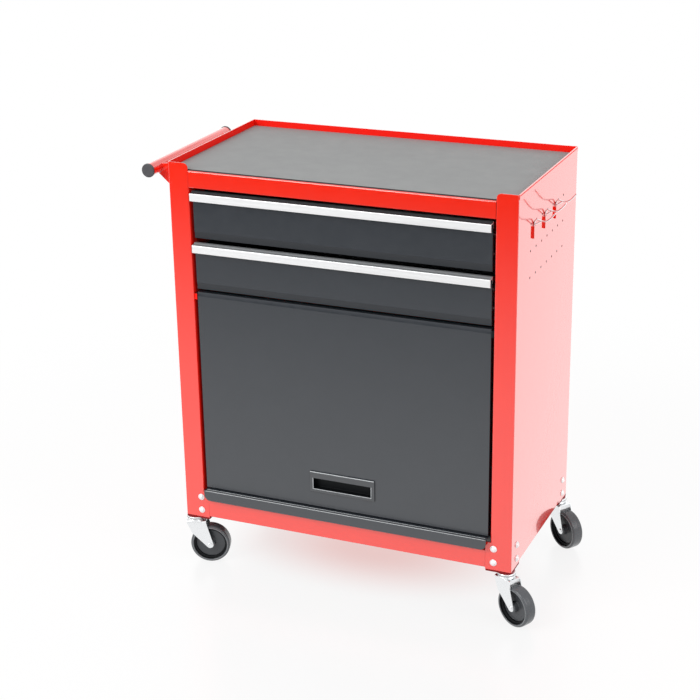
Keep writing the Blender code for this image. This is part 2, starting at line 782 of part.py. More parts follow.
def add_bottom_rails(cabinet):
    """The channels between the foot tabs, front and rear."""
    half = TAB_INNER_X - SEAT_GAP
    low = PANEL_BOTTOM + RAIL_STEP
    for name, height, edge, inward in (
        ("front_bottom_rail", FRONT_TAB_HEIGHT, FRONT_Y, 1),
        ("rear_bottom_rail", REAR_TAB_HEIGHT, BACK_Y, -1),
    ):
        high = PANEL_BOTTOM + height
        section = [
            (FRONT_Y + RAIL_FLANGE, high),
            (FRONT_Y, high),
            (FRONT_Y, low),
            (FRONT_Y + RAIL_FLANGE, low),
        ]
        channel = rail(section, half)
        if inward < 0:
            channel = mirrored(channel, (0, 1, 0))
        add_part(name, channel, RED, cabinet)


def add_brackets(cabinet):
    """Four corner brackets, each with its bolts and the plate that a caster's stem goes through."""
    seat = SHEET + SEAT_GAP
    plate_top = PANEL_BOTTOM - SEAT_GAP
    plate_low = plate_top - BRACKET_PLATE
    outer_x, outer_y = HALF_WIDTH, FRONT_Y
    plan = [
        (outer_x, outer_y),
        (outer_x, outer_y + FOOT_TAB_WIDTH),
        (outer_x - FOOT_TAB_WIDTH + BRACKET_CHAMFER, outer_y + FOOT_TAB_WIDTH),
        (outer_x - FOOT_TAB_WIDTH, outer_y + FOOT_TAB_WIDTH - BRACKET_CHAMFER),
        (outer_x - FOOT_TAB_WIDTH, outer_y),
    ]
    plate = prism(rounded(plan, FOLD_RADIUS, FOLD_STEPS, closed=True), BRACKET_PLATE, offset=plate_low)
    arms = [
        (TAB_INNER_X + SEAT_GAP, outer_y + seat),
        (outer_x - seat, outer_y + seat),
        (outer_x - seat, outer_y + FOOT_TAB_WIDTH - SEAT_GAP),
    ]
    angle = folded(
        rounded(arms, FOLD_RADIUS, FOLD_STEPS),
        BRACKET_HEIGHT + SEAT_GAP + BRACKET_PLATE / 2,
        BRACKET_SHEET,
        offset=plate_low + BRACKET_PLATE / 2,
    )
    grip = SEAT_GAP + seat + BRACKET_SHEET
    bolts = []
    for height in BOLT_LEVELS:
        level = PANEL_BOTTOM + height
        bolts.append(bolt((outer_x - FRONT_BOLT_INSET, outer_y - SEAT_GAP, level), (0, -1, 0), grip))
        bolts.append(bolt((outer_x + SEAT_GAP, outer_y + SIDE_BOLT_INSET, level), (1, 0, 0), grip))
    bracket = joined(plate, angle, *bolts)
    stem_x, stem_y = outer_x - CASTER_INSET, outer_y + CASTER_INSET
    stem_hole = rod(
        (stem_x, stem_y, plate_low - CUT_OVERRUN),
        (stem_x, stem_y, plate_top + CUT_OVERRUN),
        STEM_RADIUS + SEAT_GAP,
        BOLT_SEGMENTS,
    )
    bracket = cut(bracket, stem_hole)
    for corner, (side_x, side_y, _) in CASTERS.items():
        placed = bracket.copy()
        if side_x < 0:
            placed = mirrored(placed, (1, 0, 0))
        if side_y > 0:
            placed = mirrored(placed, (0, 1, 0))
        add_part(f"corner_bracket_{corner}", placed, ZINC, cabinet)


def add_shelf(cabinet):
    """The bottom shelf, carried on the brackets, with a rolled lip in front of the bottom rail."""
    lip_half = LIP_HALF_WIDTH
    lip_front = FRONT_Y - LIP_PROJECTION
    wide_front = FRONT_Y + POST_RETURN + SEAT_GAP
    section = [
        (wide_front + SHEET, SHELF_TOP),
        (lip_front, SHELF_TOP),
        (lip_front, SHELF_TOP - LIP_DROP),
        (lip_front + LIP_HEM, SHELF_TOP - LIP_DROP),
    ]
    path = rounded(section, LIP_FOLD_RADIUS - SHEET, FOLD_STEPS)
    lip = folded(path, 2 * lip_half, SHEET, PLANE_YZ, -lip_half)
    corners = []
    low = SHELF_TOP - LIP_DROP
    for side in (-1, 1):
        centre = (side * (lip_half - LIP_CORNER_RADIUS), low + LIP_CORNER_RADIUS)
        start = -math.pi / 2
        curve = arc(centre, LIP_CORNER_RADIUS, start, start + side * math.pi / 2, CORNER_STEPS)
        edge = side * (lip_half + CUT_OVERRUN)
        curve += [(edge, centre[1]), (edge, low - CUT_OVERRUN), (centre[0], low - CUT_OVERRUN)]
        corners.append(prism(curve, LIP_HEM + 2 * CUT_OVERRUN, PLANE_XZ, -lip_front - LIP_HEM - CUT_OVERRUN))
    lip = cut(lip, together(*corners))
    half = SKIN_INNER_X - SEAT_GAP
    skirt_low = BRACKET_TOP + SEAT_GAP
    section = [(half, skirt_low), (half, SHELF_TOP), (-half, SHELF_TOP), (-half, skirt_low)]
    rear = BACK_SHEET_FRONT_Y - SEAT_GAP
    floor = folded(rounded(section, FOLD_RADIUS, FOLD_STEPS), rear - wide_front, SHEET, PLANE_XZ, -rear)
    add_part("bottom_shelf", joined(floor, lip), CHARCOAL, cabinet)


# Inner uprights, slides and tracks

def add_uprights(cabinet):
    """Channels inside the side panels that carry the drawer slides and the door tracks."""
    outer = SKIN_INNER_X - SEAT_GAP
    low = PANEL_TOP - UPRIGHT_BOTTOM_DROP
    high = PANEL_TOP - UPRIGHT_TOP_DROP
    plan = [
        (outer, UPRIGHT_REAR_Y),
        (POST_INNER_X, UPRIGHT_REAR_Y),
        (POST_INNER_X, UPRIGHT_FRONT_Y),
        (outer, UPRIGHT_FRONT_Y),
    ]
    right = folded(rounded(plan, FOLD_RADIUS, FOLD_STEPS), high - low, SHEET, offset=low)
    add_part("drawer_support_left", mirrored(right, (1, 0, 0)), RED, cabinet)
    add_part("drawer_support_right", right, RED, cabinet)


def slide_channels():
    """The fixed and the moving channel of a right-hand slide, about the slide's own middle."""
    half = SLIDE_HEIGHT / 2
    outer_path = [
        (SLIDE_OUTER_X - SLIDE_FLANGE, -half),
        (SLIDE_OUTER_X, -half),
        (SLIDE_OUTER_X, half),
        (SLIDE_OUTER_X - SLIDE_FLANGE, half),
    ]
    inner_half = half - SHEET - SEAT_GAP
    tip = SLIDE_OUTER_X - FOLD_RADIUS - SEAT_GAP
    inner_path = [(tip, inner_half), (SLIDE_INNER_X, inner_half), (SLIDE_INNER_X, -inner_half), (tip, -inner_half)]
    radius = FOLD_RADIUS
    outer = folded(rounded(outer_path, radius, FOLD_STEPS), SLIDE_LENGTH, SHEET, PLANE_XZ, -SLIDE_LENGTH)
    inner = folded(rounded(inner_path, radius, FOLD_STEPS), SLIDE_LENGTH, SHEET, PLANE_XZ, -SLIDE_LENGTH)
    return outer, inner


def track_section():
    """The right-hand door track's section about the rollers' axis: a channel open to the inside."""
    gauge = ROLLER_RADIUS + SEAT_GAP + SHEET
    tip = FRONT_HALF_WIDTH + 2 * SEAT_GAP
    return [(tip, -gauge), (SLIDE_OUTER_X, -gauge), (SLIDE_OUTER_X, gauge), (tip, gauge)]


def add_tracks(cabinet):
    """Tracks in which the door's rollers run, with a stop at both ends."""
    section = track_section()
    start = FRONT_Y + TRACK_FRONT_MARGIN
    end = DOOR_PIVOT_Y + DOOR_TRAVEL + ROLLER_RADIUS + SEAT_GAP + TRACK_STOP
    channel = folded(section, end - start, SHEET, PLANE_XZ, -end)
    tip, gauge = section[0][0], section[2][1]
    front_stop = box(
        (tip, start, -gauge + SHEET / 2),
        (SLIDE_OUTER_X - SHEET / 2, DOOR_PIVOT_Y - ROLLER_RADIUS - SEAT_GAP, gauge - SHEET / 2),
    )
    rear_stop = box((tip, end - TRACK_STOP, -gauge + SHEET / 2), (SLIDE_OUTER_X - SHEET / 2, end, gauge - SHEET / 2))
    track = moved(joined(channel, front_stop, rear_stop), Matrix.Translation((0, 0, DOOR_PIVOT_Z)))
    add_part("door_track_left", mirrored(track, (1, 0, 0)), CHARCOAL, cabinet)
    add_part("door_track_right", track, CHARCOAL, cabinet)


# Drawers

def pull_outline():
    """The extruded pull's section in Y and Z, from the drawer front's face and top edge."""
    front = -PULL_PROJECTION
    ledge = -PULL_STEP_DROP
    under = ledge - PULL_WALL
    inner = front + PULL_WALL
    clip_front = SHEET + SEAT_GAP
    nose = rounded(
        [(-PULL_STEP_BACK, ledge), (front, ledge), (front, -PULL_HEIGHT), (front + PULL_HEM, -PULL_HEIGHT)],
        PULL_EDGE_RADIUS,
        FOLD_STEPS,
    )
    return [
        (clip_front + PULL_WALL, -PULL_CLIP_DEPTH),
        (clip_front + PULL_WALL, 0),
        (-PULL_STEP_BACK, 0),
        *nose,
        (front + PULL_HEM, -PULL_HEIGHT + PULL_WALL),
        (inner, -PULL_HEIGHT + PULL_WALL),
        (inner, under),
        (-SEAT_GAP, under),
        (-SEAT_GAP, -PULL_WALL),
        (clip_front, -PULL_WALL),
        (clip_front, -PULL_CLIP_DEPTH),
    ]


def drawer_front():
    """The folded drawer front with its creased lower band and side returns."""
    top = -PULL_WALL - SEAT_GAP
    crease = -FRONT_HEIGHT + CREASE_HEIGHT
    face = [
        (0, top),
        (0, crease + CREASE_SLOPE),
        (CREASE_DEPTH, crease),
        (CREASE_DEPTH, -FRONT_HEIGHT),
        (FRONT_RETURN, -FRONT_HEIGHT),
    ]
    front = folded(face, 2 * FRONT_HALF_WIDTH, SHEET, PLANE_YZ, -FRONT_HALF_WIDTH)
    sides = []
    for side in (-1, 1):
        edges = sorted((side * FRONT_HALF_WIDTH, side * (FRONT_HALF_WIDTH - SHEET)))
        low = (edges[0], CREASE_DEPTH + SHEET / 2, -FRONT_HEIGHT + SHEET / 2)
        sides.append(box(low, (edges[1], FRONT_RETURN, -PULL_HEIGHT)))
    return joined(front, *sides)


def drawer_box():
    """The drawer's open-topped tray."""
    bm = bmesh.new()
    low = Vector((-BOX_HALF_WIDTH, BOX_FRONT, -FRONT_HEIGHT + BOX_FLOOR_RISE))
    high = Vector((BOX_HALF_WIDTH, CABINET_DEPTH - FRONT_RECESS - BOX_BACK_MARGIN, -BOX_TOP_DROP))
    bmesh.ops.create_cube(bm, size=1)
    bmesh.ops.scale(bm, vec=high - low, verts=bm.verts)
    bmesh.ops.translate(bm, vec=(low + high) / 2, verts=bm.verts)
    lid = max(bm.faces, key=lambda face: face.calc_center_median().z)
    bmesh.ops.delete(bm, geom=[lid], context="FACES_ONLY")
    mesh = bpy.data.meshes.new("tray")
    bm.to_mesh(mesh)
    bm.free()
    holder = working_object(mesh)
    wall = holder.modifiers.new("wall", "SOLIDIFY")
    wall.thickness = SHEET
    wall.offset = -1
    wall.use_even_offset = True
    return settled(holder, "tray")


def add_drawers(cabinet):
    """Both drawers, with the fixed slide channels that carry them."""
    tray, front = drawer_box(), drawer_front()
    pull = prism(pull_outline(), 2 * PULL_HALF_WIDTH, PLANE_YZ, -PULL_HALF_WIDTH)
    outer_right, inner_right = slide_channels()
    outer_left, inner_left = mirrored(outer_right, (1, 0, 0)), mirrored(inner_right, (1, 0, 0))
    slide_y = UPRIGHT_FRONT_Y + SLIDE_FRONT_GAP
    slide_drop = (FRONT_HEIGHT - BOX_FLOOR_RISE + BOX_TOP_DROP) / 2
    for index, name in enumerate(DRAWER_NAMES):
        top = FIRST_DRAWER_TOP - index * DRAWER_PITCH
        drawer = add_frame(f"{name}_drawer", cabinet, (0, FACE_Y, top))
        add_part(f"drawer_{name}_box", tray.copy(), CHARCOAL, drawer)
        add_part(f"drawer_{name}_front", front.copy(), CHARCOAL, drawer)
        add_part(f"drawer_{name}_pull", pull.copy(), ALUMINIUM, drawer)
        place = (0, slide_y - FACE_Y, -slide_drop)
        add_part(f"drawer_{name}_slide_inner_left", inner_left.copy(), ZINC, drawer, place)
        add_part(f"drawer_{name}_slide_inner_right", inner_right.copy(), ZINC, drawer, place)
        place = (0, slide_y, top - slide_drop)
        add_part(f"drawer_{name}_slide_outer_left", outer_left.copy(), ZINC, cabinet, place)
        add_part(f"drawer_{name}_slide_outer_right", outer_right.copy(), ZINC, cabinet, place)


# Door

def grip_sizes():
    """Half width, bottom and top of the door pull's cup, about the middle of the door's width."""
    half = GRIP_WIDTH / 2 - GRIP_BEZEL_LEDGE
    low = PANEL_BOTTOM + GRIP_BOTTOM_HEIGHT - DOOR_PIVOT_Z
    return half, low + GRIP_BEZEL_LEDGE, low + GRIP_HEIGHT - GRIP_BEZEL_LEDGE


def door_pan():
    """The door: a folded pan with a stepped band along its top, holed for the grip and the pins."""
    top, low = DOOR_PIVOT_DROP, DOOR_BOTTOM - DOOR_PIVOT_Z
    face, band = -DOOR_PIVOT_DEPTH, -DOOR_PIVOT_DEPTH + DOOR_BAND_DEPTH
    rear = face + DOOR_RETURN
    step = top - DOOR_BAND_HEIGHT
    section = [(rear, top), (band, top), (band, step), (face, step - DOOR_BAND_DEPTH), (face, low), (rear, low)]
    pan = folded(section, 2 * FRONT_HALF_WIDTH, SHEET, PLANE_YZ, -FRONT_HALF_WIDTH)
    sides = []
    for side in (-1, 1):
        edges = sorted((side * FRONT_HALF_WIDTH, side * (FRONT_HALF_WIDTH - SHEET)))
        inner = SHEET / 2
        sides.append(box((edges[0], band + inner, low + inner), (edges[1], rear - inner, top - inner)))
    half, cup_low, cup_top = grip_sizes()
    grip_hole = box(
        (-half - SEAT_GAP, face - CUT_OVERRUN, cup_low - SEAT_GAP),
        (half + SEAT_GAP, face + SHEET + CUT_OVERRUN, cup_top + SEAT_GAP),
    )
    reach = FRONT_HALF_WIDTH + CUT_OVERRUN
    pin_hole = rod((-reach, 0, 0), (reach, 0, 0), ROLLER_PIN_RADIUS + SEAT_GAP, BOLT_SEGMENTS)
    return cut(joined(pan, *sides), grip_hole, pin_hole)


def door_grip():
    """The recessed pull: a bevelled bezel, a cup behind it and a slot that opens up behind the hood."""
    half, cup_low, cup_top = grip_sizes()
    face = -DOOR_PIVOT_DEPTH
    bezel_back = face - SEAT_GAP
    bezel = box(
        (-GRIP_WIDTH / 2, bezel_back - GRIP_BEZEL, cup_low - GRIP_BEZEL_LEDGE),
        (GRIP_WIDTH / 2, bezel_back, cup_top + GRIP_BEZEL_LEDGE),
    )
    cup_back = face + GRIP_DEPTH
    cup = box((-half, bezel_back - GRIP_BEZEL / 2, cup_low), (half, cup_back, cup_top))
    slot_half = GRIP_SLOT_WIDTH / 2
    slot_low = cup_low - GRIP_BEZEL_LEDGE + GRIP_SLOT_RISE
    slot = box(
        (-slot_half, bezel_back - GRIP_BEZEL - CUT_OVERRUN, slot_low),
        (slot_half, cup_back - GRIP_WALL, slot_low + GRIP_SLOT_HEIGHT),
    )
    pocket = box(
        (-slot_half, bezel_back - GRIP_BEZEL + GRIP_HOOD, slot_low + GRIP_WALL),
        (slot_half, cup_back - GRIP_WALL, cup_top - GRIP_WALL),
    )
    return cut(joined(bevelled(bezel, GRIP_EDGE_BEVEL), cup), slot, pocket)


def door_roller():
    """The right-hand pin with its roller in the track and its head inside the door."""
    skin = FRONT_HALF_WIDTH - SHEET - SEAT_GAP
    roller_start = SLIDE_OUTER_X - SHEET - SEAT_GAP - ROLLER_WIDTH
    profile = [
        (0, skin - ROLLER_PIN_HEAD),
        (ROLLER_PIN_HEAD_RADIUS, skin - ROLLER_PIN_HEAD),
        (ROLLER_PIN_HEAD_RADIUS, skin),
        (ROLLER_PIN_RADIUS, skin),
        (ROLLER_PIN_RADIUS, roller_start),
        (ROLLER_RADIUS, roller_start),
        (ROLLER_RADIUS, roller_start + ROLLER_WIDTH),
        (0, roller_start + ROLLER_WIDTH),
    ]
    return moved(turned(profile, segments=2 * BOLT_SEGMENTS), ALONG_X)


def add_door(cabinet):
    """The door on its rollers, about the axis that the rollers share."""
    pivot = (0, DOOR_PIVOT_Y, DOOR_PIVOT_Z)
    carriage = add_frame("door_carriage", cabinet, pivot)
    roller = door_roller()
    add_part("door_roller_left", mirrored(roller, (1, 0, 0)), ZINC, carriage)
    add_part("door_roller_right", roller, ZINC, carriage)
    door = add_frame("door", carriage, (0, 0, 0))
    add_part("door_panel", door_pan(), CHARCOAL, door)
    add_part("door_pull", door_grip(), BLACK_PLASTIC, door)


# Hooks

def add_hook_rail(cabinet):
    """The channel that backs the hook sockets, open towards the right panel."""
    outer = SKIN_INNER_X - SEAT_GAP
    web = outer - HOOK_RAIL_DEPTH
    high = PANEL_TOP - HOOK_RAIL_DROP
    low = high - HOOK_RAIL_HEIGHT
    section = [(outer, high), (web, high), (web, low), (outer, low)]
    start = HOOK_FIRST_Y - HOOK_RAIL_END_MARGIN
    end = HOOK_FIRST_Y + (len(HOOK_NAMES) - 1) * HOOK_PITCH + HOOK_RAIL_END_MARGIN
    channel = folded(rounded(section, FOLD_RADIUS, FOLD_STEPS), end - start, SHEET, PLANE_XZ, -end)
    add_part("hook_rail", channel, RED, cabinet)


def hook_shape():
    """A bent wire hook with its brace, about its socket's top edge in the panel's outer face."""
    # Each point's share of the hook's reach, and of its tip's rise over the socket.
    path_shares = ((0.12, 0.45), (0.33, 0.392), (0.50, 0.376), (0.61, 0.42), (0.75, 0.57), (0.87, 0.77), (1.0, 1.0))
    points = [
        (HOOK_LEG_OUT, 0, -SOCKET_HEIGHT + HOOK_LEG_FOOT),
        (HOOK_LEG_OUT, 0, 0),
        (HOOK_NECK_OUT, 0, HOOK_NECK_RISE),
        (HOOK_NECK_OUT, 0, HOOK_ROOT_RISE - 2 * HOOK_WIRE_RADIUS),
    ]
    points += [(HOOK_REACH * out_share, 0, HOOK_TIP_RISE * rise_share) for out_share, rise_share in path_shares]
    main = wire(points, HOOK_WIRE_RADIUS)
    join_out, join_rise = path_shares[1]
    brace = wire(
        [
            (HOOK_NECK_OUT, 0, HOOK_BRACE_FOOT),
            (HOOK_REACH * join_out, 0, HOOK_TIP_RISE * join_rise),
        ],
        HOOK_WIRE_RADIUS,
    )
    return joined(main, brace)


def add_hooks(cabinet):
    """Three wire hooks in their sockets."""
    shape = hook_shape()
    for index, name in enumerate(HOOK_NAMES):
        place = (HALF_WIDTH, HOOK_FIRST_Y + index * HOOK_PITCH, SOCKET_TOP)
        add_part(f"hook_{name}", shape.copy(), ZINC, cabinet, place)


# Handle

def handle_bracket():
    """A handle bracket about the tube's axis: a web with a saddle for the tube, a foot and two bolts."""
    reach = HANDLE_OFFSET - SEAT_GAP
    top = HANDLE_BRACKET_TOP
    low = top - HANDLE_BRACKET_HEIGHT
    saddle = HANDLE_RADIUS + SEAT_GAP
    lowest = -math.acos(HANDLE_SADDLE_REACH / saddle)
    outline = arc((0, 0), saddle, math.radians(HANDLE_SADDLE_TURN), lowest, CORNER_STEPS)
    outline += [(HANDLE_SADDLE_REACH, -saddle - SEAT_GAP), (reach, low), (reach, top)]
    half = HANDLE_BRACKET_SHEET / 2
    web = prism(outline, HANDLE_BRACKET_SHEET, PLANE_XZ, -half)
    foot = box((reach - HANDLE_BRACKET_SHEET, -half, low), (reach, HANDLE_FOOT_WIDTH, top))
    grip = HANDLE_BRACKET_SHEET + 2 * SEAT_GAP + SHEET
    bolts = []
    for level in handle_bolt_levels():
        face = (reach - HANDLE_BRACKET_SHEET, HANDLE_FOOT_WIDTH / 2, level - HANDLE_Z)
        bolts.append(bolt(face, (-1, 0, 0), grip + SEAT_GAP))
    return joined(web, foot, *bolts)


def add_handle(cabinet):
    """The push handle on the left side: tube, end caps and brackets."""
    half = HANDLE_HALF_LENGTH
    inner = HANDLE_RADIUS - HANDLE_WALL
    tube_profile = [(HANDLE_RADIUS, half), (HANDLE_RADIUS, -half), (inner, -half), (inner, half)]
    tube = moved(turned(tube_profile, closed=True, segments=TUBE_SEGMENTS), ALONG_Y)
    place = (HANDLE_X, 0, HANDLE_Z)
    add_part("handle_tube", tube, RED, cabinet, place)
    plug = inner - SEAT_GAP
    start = half + SEAT_GAP
    cap_profile = [
        (0, start + HANDLE_CAP),
        (HANDLE_RADIUS - FOLD_RADIUS / 2, start + HANDLE_CAP),
        (HANDLE_RADIUS, start + HANDLE_CAP - FOLD_RADIUS / 2),
        (HANDLE_RADIUS, start),
        (plug, start),
        (plug, start - HANDLE_PLUG),
        (0, start - HANDLE_PLUG),
    ]
    cap = moved(turned(cap_profile, segments=TUBE_SEGMENTS), ALONG_Y)
    add_part("handle_cap_rear", cap.copy(), WHEEL_GREY, cabinet, place)
    add_part("handle_cap_front", mirrored(cap, (0, 1, 0)), WHEEL_GREY, cabinet, place)
    bracket = handle_bracket()
    for name, side in (("front", -1), ("rear", 1)):
        seat = (HANDLE_X, side * BRACKET_OFFSET, HANDLE_Z)
        add_part(f"handle_bracket_{name}", bracket.copy(), RED, cabinet, seat)


# Casters

def caster_stem():
    """The fixed part of a caster: kingpin, upper race, threaded stem and nut, about the swivel axis."""
    race_low = CASTER_HEIGHT - UPPER_RACE_HEIGHT
    plate_low = race_low - SEAT_GAP - FORK_DOME_HEIGHT - FORK_SHEET
    head_top = plate_low - SEAT_GAP
    plate_top = CASTER_HEIGHT + SEAT_GAP + BRACKET_PLATE
    nut_low = plate_top + SEAT_GAP
    nut_top = nut_low + STEM_NUT_HEIGHT
    profile = [
        (0, nut_top + STEM_TIP),
        (STEM_RADIUS, nut_top + STEM_TIP),
        (STEM_RADIUS, CASTER_HEIGHT),
        (UPPER_RACE_RADIUS - RACE_EDGE, CASTER_HEIGHT),
        (UPPER_RACE_RADIUS, CASTER_HEIGHT - RACE_EDGE),
        (UPPER_RACE_RADIUS, race_low + RACE_EDGE),
        (UPPER_RACE_RADIUS - RACE_EDGE, race_low),
        (STEM_RADIUS, race_low),
        (STEM_RADIUS, head_top),
        (KINGPIN_HEAD_RADIUS, head_top),
        (KINGPIN_HEAD_RADIUS, head_top - KINGPIN_HEAD),
        (0, head_top - KINGPIN_HEAD),
    ]
    nut = rod((0, 0, nut_low), (0, 0, nut_top), STEM_NUT_RADIUS, HEX)
    return joined(turned(profile), nut)


def leg_outline(top):
    """The fork's side view in X and Z: full width at the top, a knee behind and a rounded end."""
    centre = Vector((CASTER_TRAIL, WHEEL_RADIUS))
    shoulder = top - FORK_DOME_HEIGHT - FORK_SHEET
    knee = Vector((-FORK_KNEE, FORK_KNEE_HEIGHT))
    front = Vector((FORK_FRONT, shoulder))
    to_front, to_knee = front - centre, knee - centre
    start = math.atan2(to_knee.y, to_knee.x) + math.acos(FORK_END_RADIUS / to_knee.length)
    end = math.atan2(to_front.y, to_front.x) - math.acos(FORK_END_RADIUS / to_front.length)
    end += 2 * math.pi if end < start else 0
    high = top + CUT_OVERRUN
    return [
        (-FORK_REAR, high),
        (-FORK_REAR, shoulder),
        tuple(knee),
        *arc(centre, FORK_END_RADIUS, start, end, 2 * CORNER_STEPS - 2),
        tuple(front),
        (FORK_FRONT, high),
    ]


def caster_fork():
    """The pressed fork: a folded channel trimmed to the leg's outline, with the lower race on top."""
    dome_top = CASTER_HEIGHT - UPPER_RACE_HEIGHT - SEAT_GAP
    plate_top = dome_top - FORK_DOME_HEIGHT
    low = WHEEL_RADIUS - FORK_END_RADIUS - CUT_OVERRUN
    section = [
        (FORK_HALF_WIDTH, low),
        (FORK_HALF_WIDTH, plate_top),
        (-FORK_HALF_WIDTH, plate_top),
        (-FORK_HALF_WIDTH, low),
    ]
    reach = FORK_REAR + CUT_OVERRUN
    length = reach + CASTER_TRAIL + FORK_END_RADIUS + CUT_OVERRUN
    channel = folded(rounded(section, FORK_BEND_RADIUS, FOLD_STEPS), length, FORK_SHEET, PLANE_YZ, -reach)
    wide = 2 * (FORK_HALF_WIDTH + CUT_OVERRUN)
    trim = prism(leg_outline(dome_top), wide, PLANE_XZ, -wide / 2)
    fork = combined(channel, [trim], "INTERSECT")
    dome = turned([
        (0, dome_top),
        (FORK_DOME_RADIUS - RACE_EDGE, dome_top),
        (FORK_DOME_RADIUS, dome_top - RACE_EDGE),
        (FORK_DOME_RADIUS, plate_top - FORK_SHEET / 2),
        (0, plate_top - FORK_SHEET / 2),
    ])
    kingpin_hole = rod(
        (0, 0, plate_top - FORK_SHEET - CUT_OVERRUN),
        (0, 0, dome_top + CUT_OVERRUN),
        STEM_RADIUS + SEAT_GAP,
        2 * BOLT_SEGMENTS,
    )
    axle_hole = rod(
        (CASTER_TRAIL, -wide / 2, WHEEL_RADIUS),
        (CASTER_TRAIL, wide / 2, WHEEL_RADIUS),
        AXLE_RADIUS + SEAT_GAP,
        2 * BOLT_SEGMENTS,
    )
    return cut(joined(fork, dome), kingpin_hole, axle_hole)


def caster_axle():
    """The axle bolt with its head and nut outside the fork, along Y through its own middle."""
    seat = FORK_HALF_WIDTH + SEAT_GAP
    profile = [
        (0, seat + AXLE_HEAD),
        (AXLE_HEAD_RADIUS, seat + AXLE_HEAD),
        (AXLE_HEAD_RADIUS, seat),
        (AXLE_RADIUS, seat),
        (AXLE_RADIUS, -seat),
        (AXLE_HEAD_RADIUS, -seat),
        (AXLE_HEAD_RADIUS, -seat - AXLE_HEAD),
        (0, -seat - AXLE_HEAD),
    ]
    return moved(turned(profile, segments=2 * BOLT_SEGMENTS), ALONG_Y)


def wheel_half_profile():
    """Radius and height of the wheel's upper half, from the middle of the tread to the bore."""
    half = WHEEL_WIDTH / 2
    hub = FORK_HALF_GAP - SEAT_GAP
    shoulder = arc(
        (WHEEL_RADIUS - WHEEL_SHOULDER, half - WHEEL_SHOULDER), WHEEL_SHOULDER, 0, math.pi / 2, FOLD_STEPS + 1
    )
    return [
        *shoulder,
        (WHEEL_RIM_RADIUS, half),
        (WHEEL_RIM_RADIUS, WHEEL_STEP_HALF),
        (WHEEL_STEP_RADIUS, WHEEL_STEP_HALF),
        (WHEEL_STEP_RADIUS, WHEEL_WEB_HALF),
        (WHEEL_HUB_RADIUS, WHEEL_WEB_HALF),
        (WHEEL_HUB_RADIUS, hub),
        (AXLE_RADIUS + SEAT_GAP, hub),
    ]


def caster_wheel():
    """The dished wheel, turned round its axle, along Y."""
    upper = wheel_half_profile()
    lower = [(radius, -height) for radius, height in reversed(upper)]
    return moved(turned(upper + lower, closed=True), ALONG_Y)


def add_casters(cabinet):
    """Four swivel casters: a fixed stem, a turning fork with its axle, and a wheel."""
    stem, fork, axle, wheel = caster_stem(), caster_fork(), caster_axle(), caster_wheel()
    for corner, (side_x, side_y, trail_angle) in CASTERS.items():
        place = (side_x * (HALF_WIDTH - CASTER_INSET), side_y * (HALF_DEPTH - CASTER_INSET), 0)
        add_part(f"caster_{corner}_stem", stem.copy(), ZINC, cabinet, place)
        swivel = add_frame(f"caster_{corner}_swivel", cabinet, place, math.radians(trail_angle))
        add_part(f"caster_{corner}_fork", fork.copy(), ZINC, swivel)
        centre = (CASTER_TRAIL, 0, WHEEL_RADIUS)
        add_part(f"caster_{corner}_axle", axle.copy(), ZINC, swivel, centre)
        add_part(f"caster_{corner}_wheel", wheel.copy(), WHEEL_GREY, swivel, centre)


def centre_on_floor(cabinet):
    """Move the whole cart so that the origin is on the floor under the middle of its box."""
    bpy.context.view_layer.update()
    corners = [
        part.matrix_world @ vertex.co
        for part in PARTS.objects
        if part.type == "MESH"
        for vertex in part.data.vertices
    ]
    for axis in (0, 1):
        values = [corner[axis] for corner in corners]
        cabinet.location[axis] -= (min(values) + max(values)) / 2


def main():
    """Build the cart."""
    cabinet = add_frame("cabinet", None, (0, 0, 0))
    add_side_panels(cabinet)
    add_back(cabinet)
    add_top(cabinet)
    add_bottom_rails(cabinet)
    add_brackets(cabinet)
    add_shelf(cabinet)
    add_uprights(cabinet)
    add_tracks(cabinet)
    add_drawers(cabinet)
    add_door(cabinet)
    add_hook_rail(cabinet)
    add_hooks(cabinet)
    add_handle(cabinet)
    add_casters(cabinet)
    centre_on_floor(cabinet)


main()
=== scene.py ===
"""Tool cart: refined pieces, finishes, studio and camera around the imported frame."""

import logging
import math
from dataclasses import dataclass
from enum import Enum
from typing import Any, Callable, Sequence

import bmesh
import bpy
from mathutils import Matrix, Vector


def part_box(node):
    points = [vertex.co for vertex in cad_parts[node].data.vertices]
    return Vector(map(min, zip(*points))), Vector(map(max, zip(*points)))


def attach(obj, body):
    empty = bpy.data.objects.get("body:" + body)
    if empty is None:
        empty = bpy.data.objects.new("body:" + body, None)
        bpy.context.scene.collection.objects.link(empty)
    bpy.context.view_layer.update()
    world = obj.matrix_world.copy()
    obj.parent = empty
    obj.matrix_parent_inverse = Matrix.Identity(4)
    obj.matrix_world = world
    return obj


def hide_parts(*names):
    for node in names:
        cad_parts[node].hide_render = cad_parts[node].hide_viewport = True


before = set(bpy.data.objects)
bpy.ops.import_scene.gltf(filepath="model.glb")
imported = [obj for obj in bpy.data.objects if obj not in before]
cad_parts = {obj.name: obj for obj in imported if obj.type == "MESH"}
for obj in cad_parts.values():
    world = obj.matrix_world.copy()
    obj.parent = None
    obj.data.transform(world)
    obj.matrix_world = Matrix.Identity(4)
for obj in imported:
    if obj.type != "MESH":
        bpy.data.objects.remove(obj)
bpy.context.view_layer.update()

LOG = logging.getLogger("tool_cart")

Pair = tuple[float, float]
Triple = tuple[float, float, float]
Colour = tuple[float, float, float]
Shape = bmesh.types.BMesh
Face = bmesh.types.BMFace
Node = bpy.types.Node
Socket = bpy.types.NodeSocket

WHITE = (1.0, 1.0, 1.0, 1.0)
MIX_FACTOR, MIX_FIRST, MIX_SECOND, MIX_RESULT = 0, 6, 7, 2

